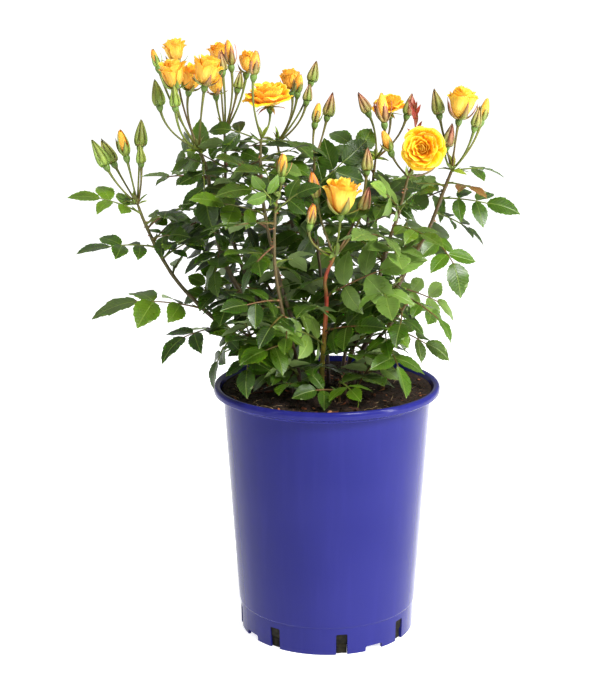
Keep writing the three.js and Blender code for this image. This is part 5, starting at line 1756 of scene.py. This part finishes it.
def makeGrowths():
    forms, tree = growthForms(), growthTree()
    values = {"Sides": growth["sides"], "Forms": forms, "Stem Finish": stemMaterial(), "Leaf Finish": leafMaterial()}
    for number, cane in enumerate(canes):
        cane["number"] = number
        draw = newDice(growth["seed"] + 131 * number)
        source = newSource()
        addCane(source, cane, draw)
        for entry in cane["flowers"]:
            addCalyx(source, cane, entry, draw)
        for leaf in leaves:
            if leaf["cane"] == number:
                addLeaf(source, leaf, draw)
        if cane["name"] == "front_shoot":
            addSeedling(source, draw)
        if cane["name"] == growth["redShoot"]["cane"]:
            addRedShoot(source, draw)
        piece = newPiece("growth_" + cane["name"], sourceMesh("growth_" + cane["name"], source))
        grown(piece, tree, values)
        finishPiece(piece, "cane_" + cane["name"])
    dropForms(forms)
    print("canes made:", len(canes))


makeGrowths()


# Petals. Each whorl is (petals, handles of (radius, height), half width, cup, roll, first turn),
# in millimetres for a bloom of the nominal size.

petalLook = {
    "seed": 4021, "thickness": 0.34, "grid": (9, 9),
    "whorls": {
        "open": [
            (5, [(1.6, 0.6), (11, -0.5), (19, 9), (24, 7.5)], 12.8, 1.35, 2.4, 0),
            (5, [(1.5, 1.0), (10.5, 1), (16.5, 13), (20.5, 13.5)], 11.4, 1.2, 2.2, 36),
            (6, [(1.4, 1.5), (9, 3), (13.5, 14), (16.2, 18.0)], 9.4, 1.1, 1.8, 20),
            (6, [(1.3, 2.0), (7, 4), (10.2, 14.5), (12.2, 20.5)], 7.6, 1.0, 1.4, 50),
            (6, [(1.1, 3.0), (5.4, 6), (7.6, 14), (8.8, 21.2)], 6.2, 0.95, 1.0, 10),
            (5, [(0.9, 4.0), (4.6, 7), (5.6, 14), (5.2, 21.2)], 5.4, 0.9, 0.6, 44),
            (4, [(0.7, 4.5), (3.2, 8), (3.9, 13), (3.0, 20.9)], 4.2, 0.9, 0.4, 80),
            (4, [(0.5, 5.0), (2.0, 8), (2.6, 13), (1.5, 20.4)], 3.0, 0.9, 0.2, 20),
            (3, [(0.4, 6.0), (1.0, 9), (1.4, 13), (0.2, 19.6)], 1.8, 0.9, 0.1, 60),
        ],
        "half": [
            (4, [(1.5, 0.4), (9.5, 2.5), (8.6, 14), (11.8, 19)], 8.6, 1.05, 1.7, 0),
            (5, [(1.4, 0.8), (8.4, 4), (7.4, 15), (9.8, 22)], 7.6, 1.0, 1.3, 36),
            (5, [(1.2, 1.2), (7.0, 6), (6.2, 16), (8.0, 23.2)], 6.4, 0.95, 0.9, 20),
            (4, [(1.0, 2.0), (5.4, 8), (4.9, 16), (6.6, 24)], 5.6, 0.95, 0.6, 70),
            (4, [(0.8, 2.6), (3.8, 9), (3.6, 16), (4.6, 24.4)], 4.6, 0.95, 0.4, 30),
            (3, [(0.6, 3.0), (2.2, 10), (2.6, 17), (1.6, 24)], 3.4, 0.9, 0.2, 10),
            (3, [(0.4, 4.0), (1.0, 11), (1.4, 17), (0.2, 23)], 1.8, 0.9, 0.1, 50),
        ],
    },
    "roll": {"petals": 5, "span": 1.35, "step": 0.09},
    "flush": {"bud": 0.55, "half": 0.18, "open": 0.04},
    # how orange a flower is, where that isn't drawn
    "warmth": {"open_right_inner_1": 0, "open_right_centre_2": 0.3},
}


def petalMaterial():
    # the petals glow faintly in their own colour: painted light that lifts the shade inside the blooms
    material, tree, shader = newMaterial("petalSilk", {
        "Roughness": 0.5, "Specular IOR Level": 0.22, "Subsurface Weight": 0.25,
        "Subsurface Radius": (0.0022, 0.0012, 0.0003), "Subsurface Scale": 1.0, "Emission Strength": 0.06})
    spot = place(tree)
    across, along, depth = parts(tree, attribute(tree, "petalSpot", "Vector"))
    shade = attribute(tree, "petalShade")
    face = ramp(tree, along, [(0.0, (222, 100, 0)), (0.5, (238, 146, 2)),
                              (0.8, (248, 192, 12)), (0.93, (252, 214, 34)),
                              (1.0, (255, 236, 116))])
    heart = ramp(tree, along, [(0.0, (226, 104, 0)), (0.7, (246, 158, 6)),
                               (1.0, (254, 216, 46))])
    face = mixed(tree, depth, face, heart)
    back = ramp(tree, along, [(0.0, (236, 184, 76)), (0.55, (246, 202, 88)),
                              (1.0, (250, 202, 60))])
    tone = mixed(tree, attribute(tree, "back"), face, back)
    tone = mixed(tree, rescaled(tree, shade, 0.2, 1, 0, 0.75), tone, (238, 132, 24))
    uneven = rescaled(tree, noise(tree, spot, 150, 3), 0.3, 0.7, 0.4, 1)
    blush = maths(tree, "MULTIPLY", attribute(tree, "blush"), uneven)
    tone = mixed(tree, blush, tone, (226, 84, 30))
    # fine nerves that fan out from the petal's foot
    fan = nodeOut(tree, "ShaderNodeCombineXYZ", {0: maths(tree, "MULTIPLY", across, 9), 1: along, 2: shade})
    nerves = noise(tree, fan, 2.2, 4, 0.65)
    tone = mixed(tree, rescaled(tree, nerves, 0.48, 0.7, 0, 0.55), tone, (240, 132, 22))
    tone = mixed(tree, rescaled(tree, nerves, 0.5, 0.3, 0, 0.4), tone, (255, 226, 104))
    rough = rescaled(tree, noise(tree, spot, 300, 3), 0.3, 0.7, 0.42, 0.62)
    normal = bump(tree, noise(tree, spot, 160, 3), 0.25, 0.0008, bump(tree, nerves, 0.3, 0.0004))
    # the emission takes the petal's own colour: a painted glow
    join(tree, shader, Base_Color=tone, Roughness=rough, Normal=normal, Emission_Color=tone)
    return material


def flowerPetals(flower, draw):
    # every petal of a flower: azimuth, handles, width of it, and its own shape
    size, petals = flower["size"], []
    if flower["kind"] == "bud":
        length = plant["nominalBloom"] * size
        rule = petalLook["roll"]
        for number in range(rule["petals"]):
            inner = 1 - rule["step"] * number
            line = [(0.6, 0.3), (6.9 * size * inner, 0.1 * length), (5.4 * size * inner, 0.62 * length),
                    (0.9 * size, length - 6 - 0.5 * number)]
            span = rule["span"]
            petals.append((2.4 * number + 6 * draw(), line, lambda share, line=line, span=span:
                           span * np.maximum(np.abs(bezier(line, share)[0][..., 0]), 0.4),
                           {"cup": 1.0, "leastBend": 0.4, "roll": 0.25 * size, "ruffle": 0.12, "cornerCut": 0.16,
                            "point": 0.0, "depth": number / rule["petals"]}))
        return petals
    whorls = petalLook["whorls"][flower["kind"]]
    spin = 360 * draw()
    for ring, (count, line, width, cup, roll, turn) in enumerate(whorls):
        depth = ring / (len(whorls) - 1)
        for number in range(count):
            azimuth = math.radians(spin + turn + 360 / count * number + aboutZero(draw, 22))
            stretch = size * ((0.97 if flower["kind"] == "open" else 0.93) + 0.14 * draw())
            opened = aboutZero(draw, 1.1) * (1 - depth)
            own = [vec(*handle) * stretch for handle in line]
            own[3] = own[3] + vec(opened, -opened * 0.5) * size
            full = width * stretch * (0.92 + 0.16 * draw())

            def spread(share, full=full):
                return full * (0.22 + 0.78 * np.sin(np.minimum(share / 0.72, 1) * math.pi / 2) ** 1.1)
            petals.append((azimuth, own, spread, {
                "cup": cup, "leastBend": 1.2 * size, "roll": roll * size * (0.5 + draw()),
                "ruffle": size * (1.7 - 1.0 * depth) * (0.5 + 0.5 * draw()),
                "cornerCut": 0.22, "point": 0.045 * draw(), "depth": depth}))
    return petals


def makePetals(cane, entry, name, material, draw):
    flower = flowerOf(cane, entry)
    start = flower["foot"] + flower["axis"] * (plant["hipHeight"] + plant["clearance"])
    points, faces, rims, backs, spots, shades = [], [], [], [], [], []
    count, warmth = 0, petalLook["warmth"].get(name, draw() ** 1.5)
    for azimuth, line, width, shape in flowerPetals(flower, draw):
        shape = {**shape, "grid": petalLook["grid"], "waves": 2.5 + 3 * draw(), "phase": 6.3 * draw()}
        middle, normals = petalSurface(start, flower["axis"], azimuth, line, width, shape)
        shell = closedShell(middle, normals, petalLook["thickness"])
        points.append(shell[0])
        faces += [tuple(int(corner) + count for corner in face) for face in shell[1]]
        rims.append(shell[2])
        backs.append(shell[3])
        spots.append(np.column_stack([shell[4], np.full(len(shell[0]), shape["depth"])]))
        shades.append(np.full(len(shell[0]), 0.6 * warmth + 0.4 * draw()))
        count += len(shell[0])
    piece = newPiece("petals_" + name, newMesh("petals_" + name, np.concatenate(points), faces), material)
    mesh = piece.data
    setValues(mesh, "petalSpot", "FLOAT_VECTOR", "POINT", np.concatenate(spots))
    setValues(mesh, "petalShade", "FLOAT", "POINT", np.concatenate(shades))
    flush = petalLook["flush"][flower["kind"]] * (0.4 + 0.9 * draw()) + 0.6 * flower["isShut"]
    rise = np.concatenate(spots)[:, 1]
    setValues(mesh, "blush", "FLOAT", "POINT", np.clip(flush * (0.4 + rise ** 2), 0, 1))
    setValues(mesh, "back", "FLOAT", "FACE", np.concatenate(backs))
    markRims(mesh, np.concatenate(rims))
    finishPiece(piece, name)


def makeFlowers():
    material, made = petalMaterial(), 0
    for number, cane in enumerate(canes):
        draw = newDice(petalLook["seed"] + 57 * number)
        for index, entry in enumerate(cane["flowers"]):
            if entry[0] != "closed":
                makePetals(cane, entry, f"{entry[0]}_{cane['name']}_{index + 1}", material, draw)
                made += 1
    print("flowers made:", made)


makeFlowers()
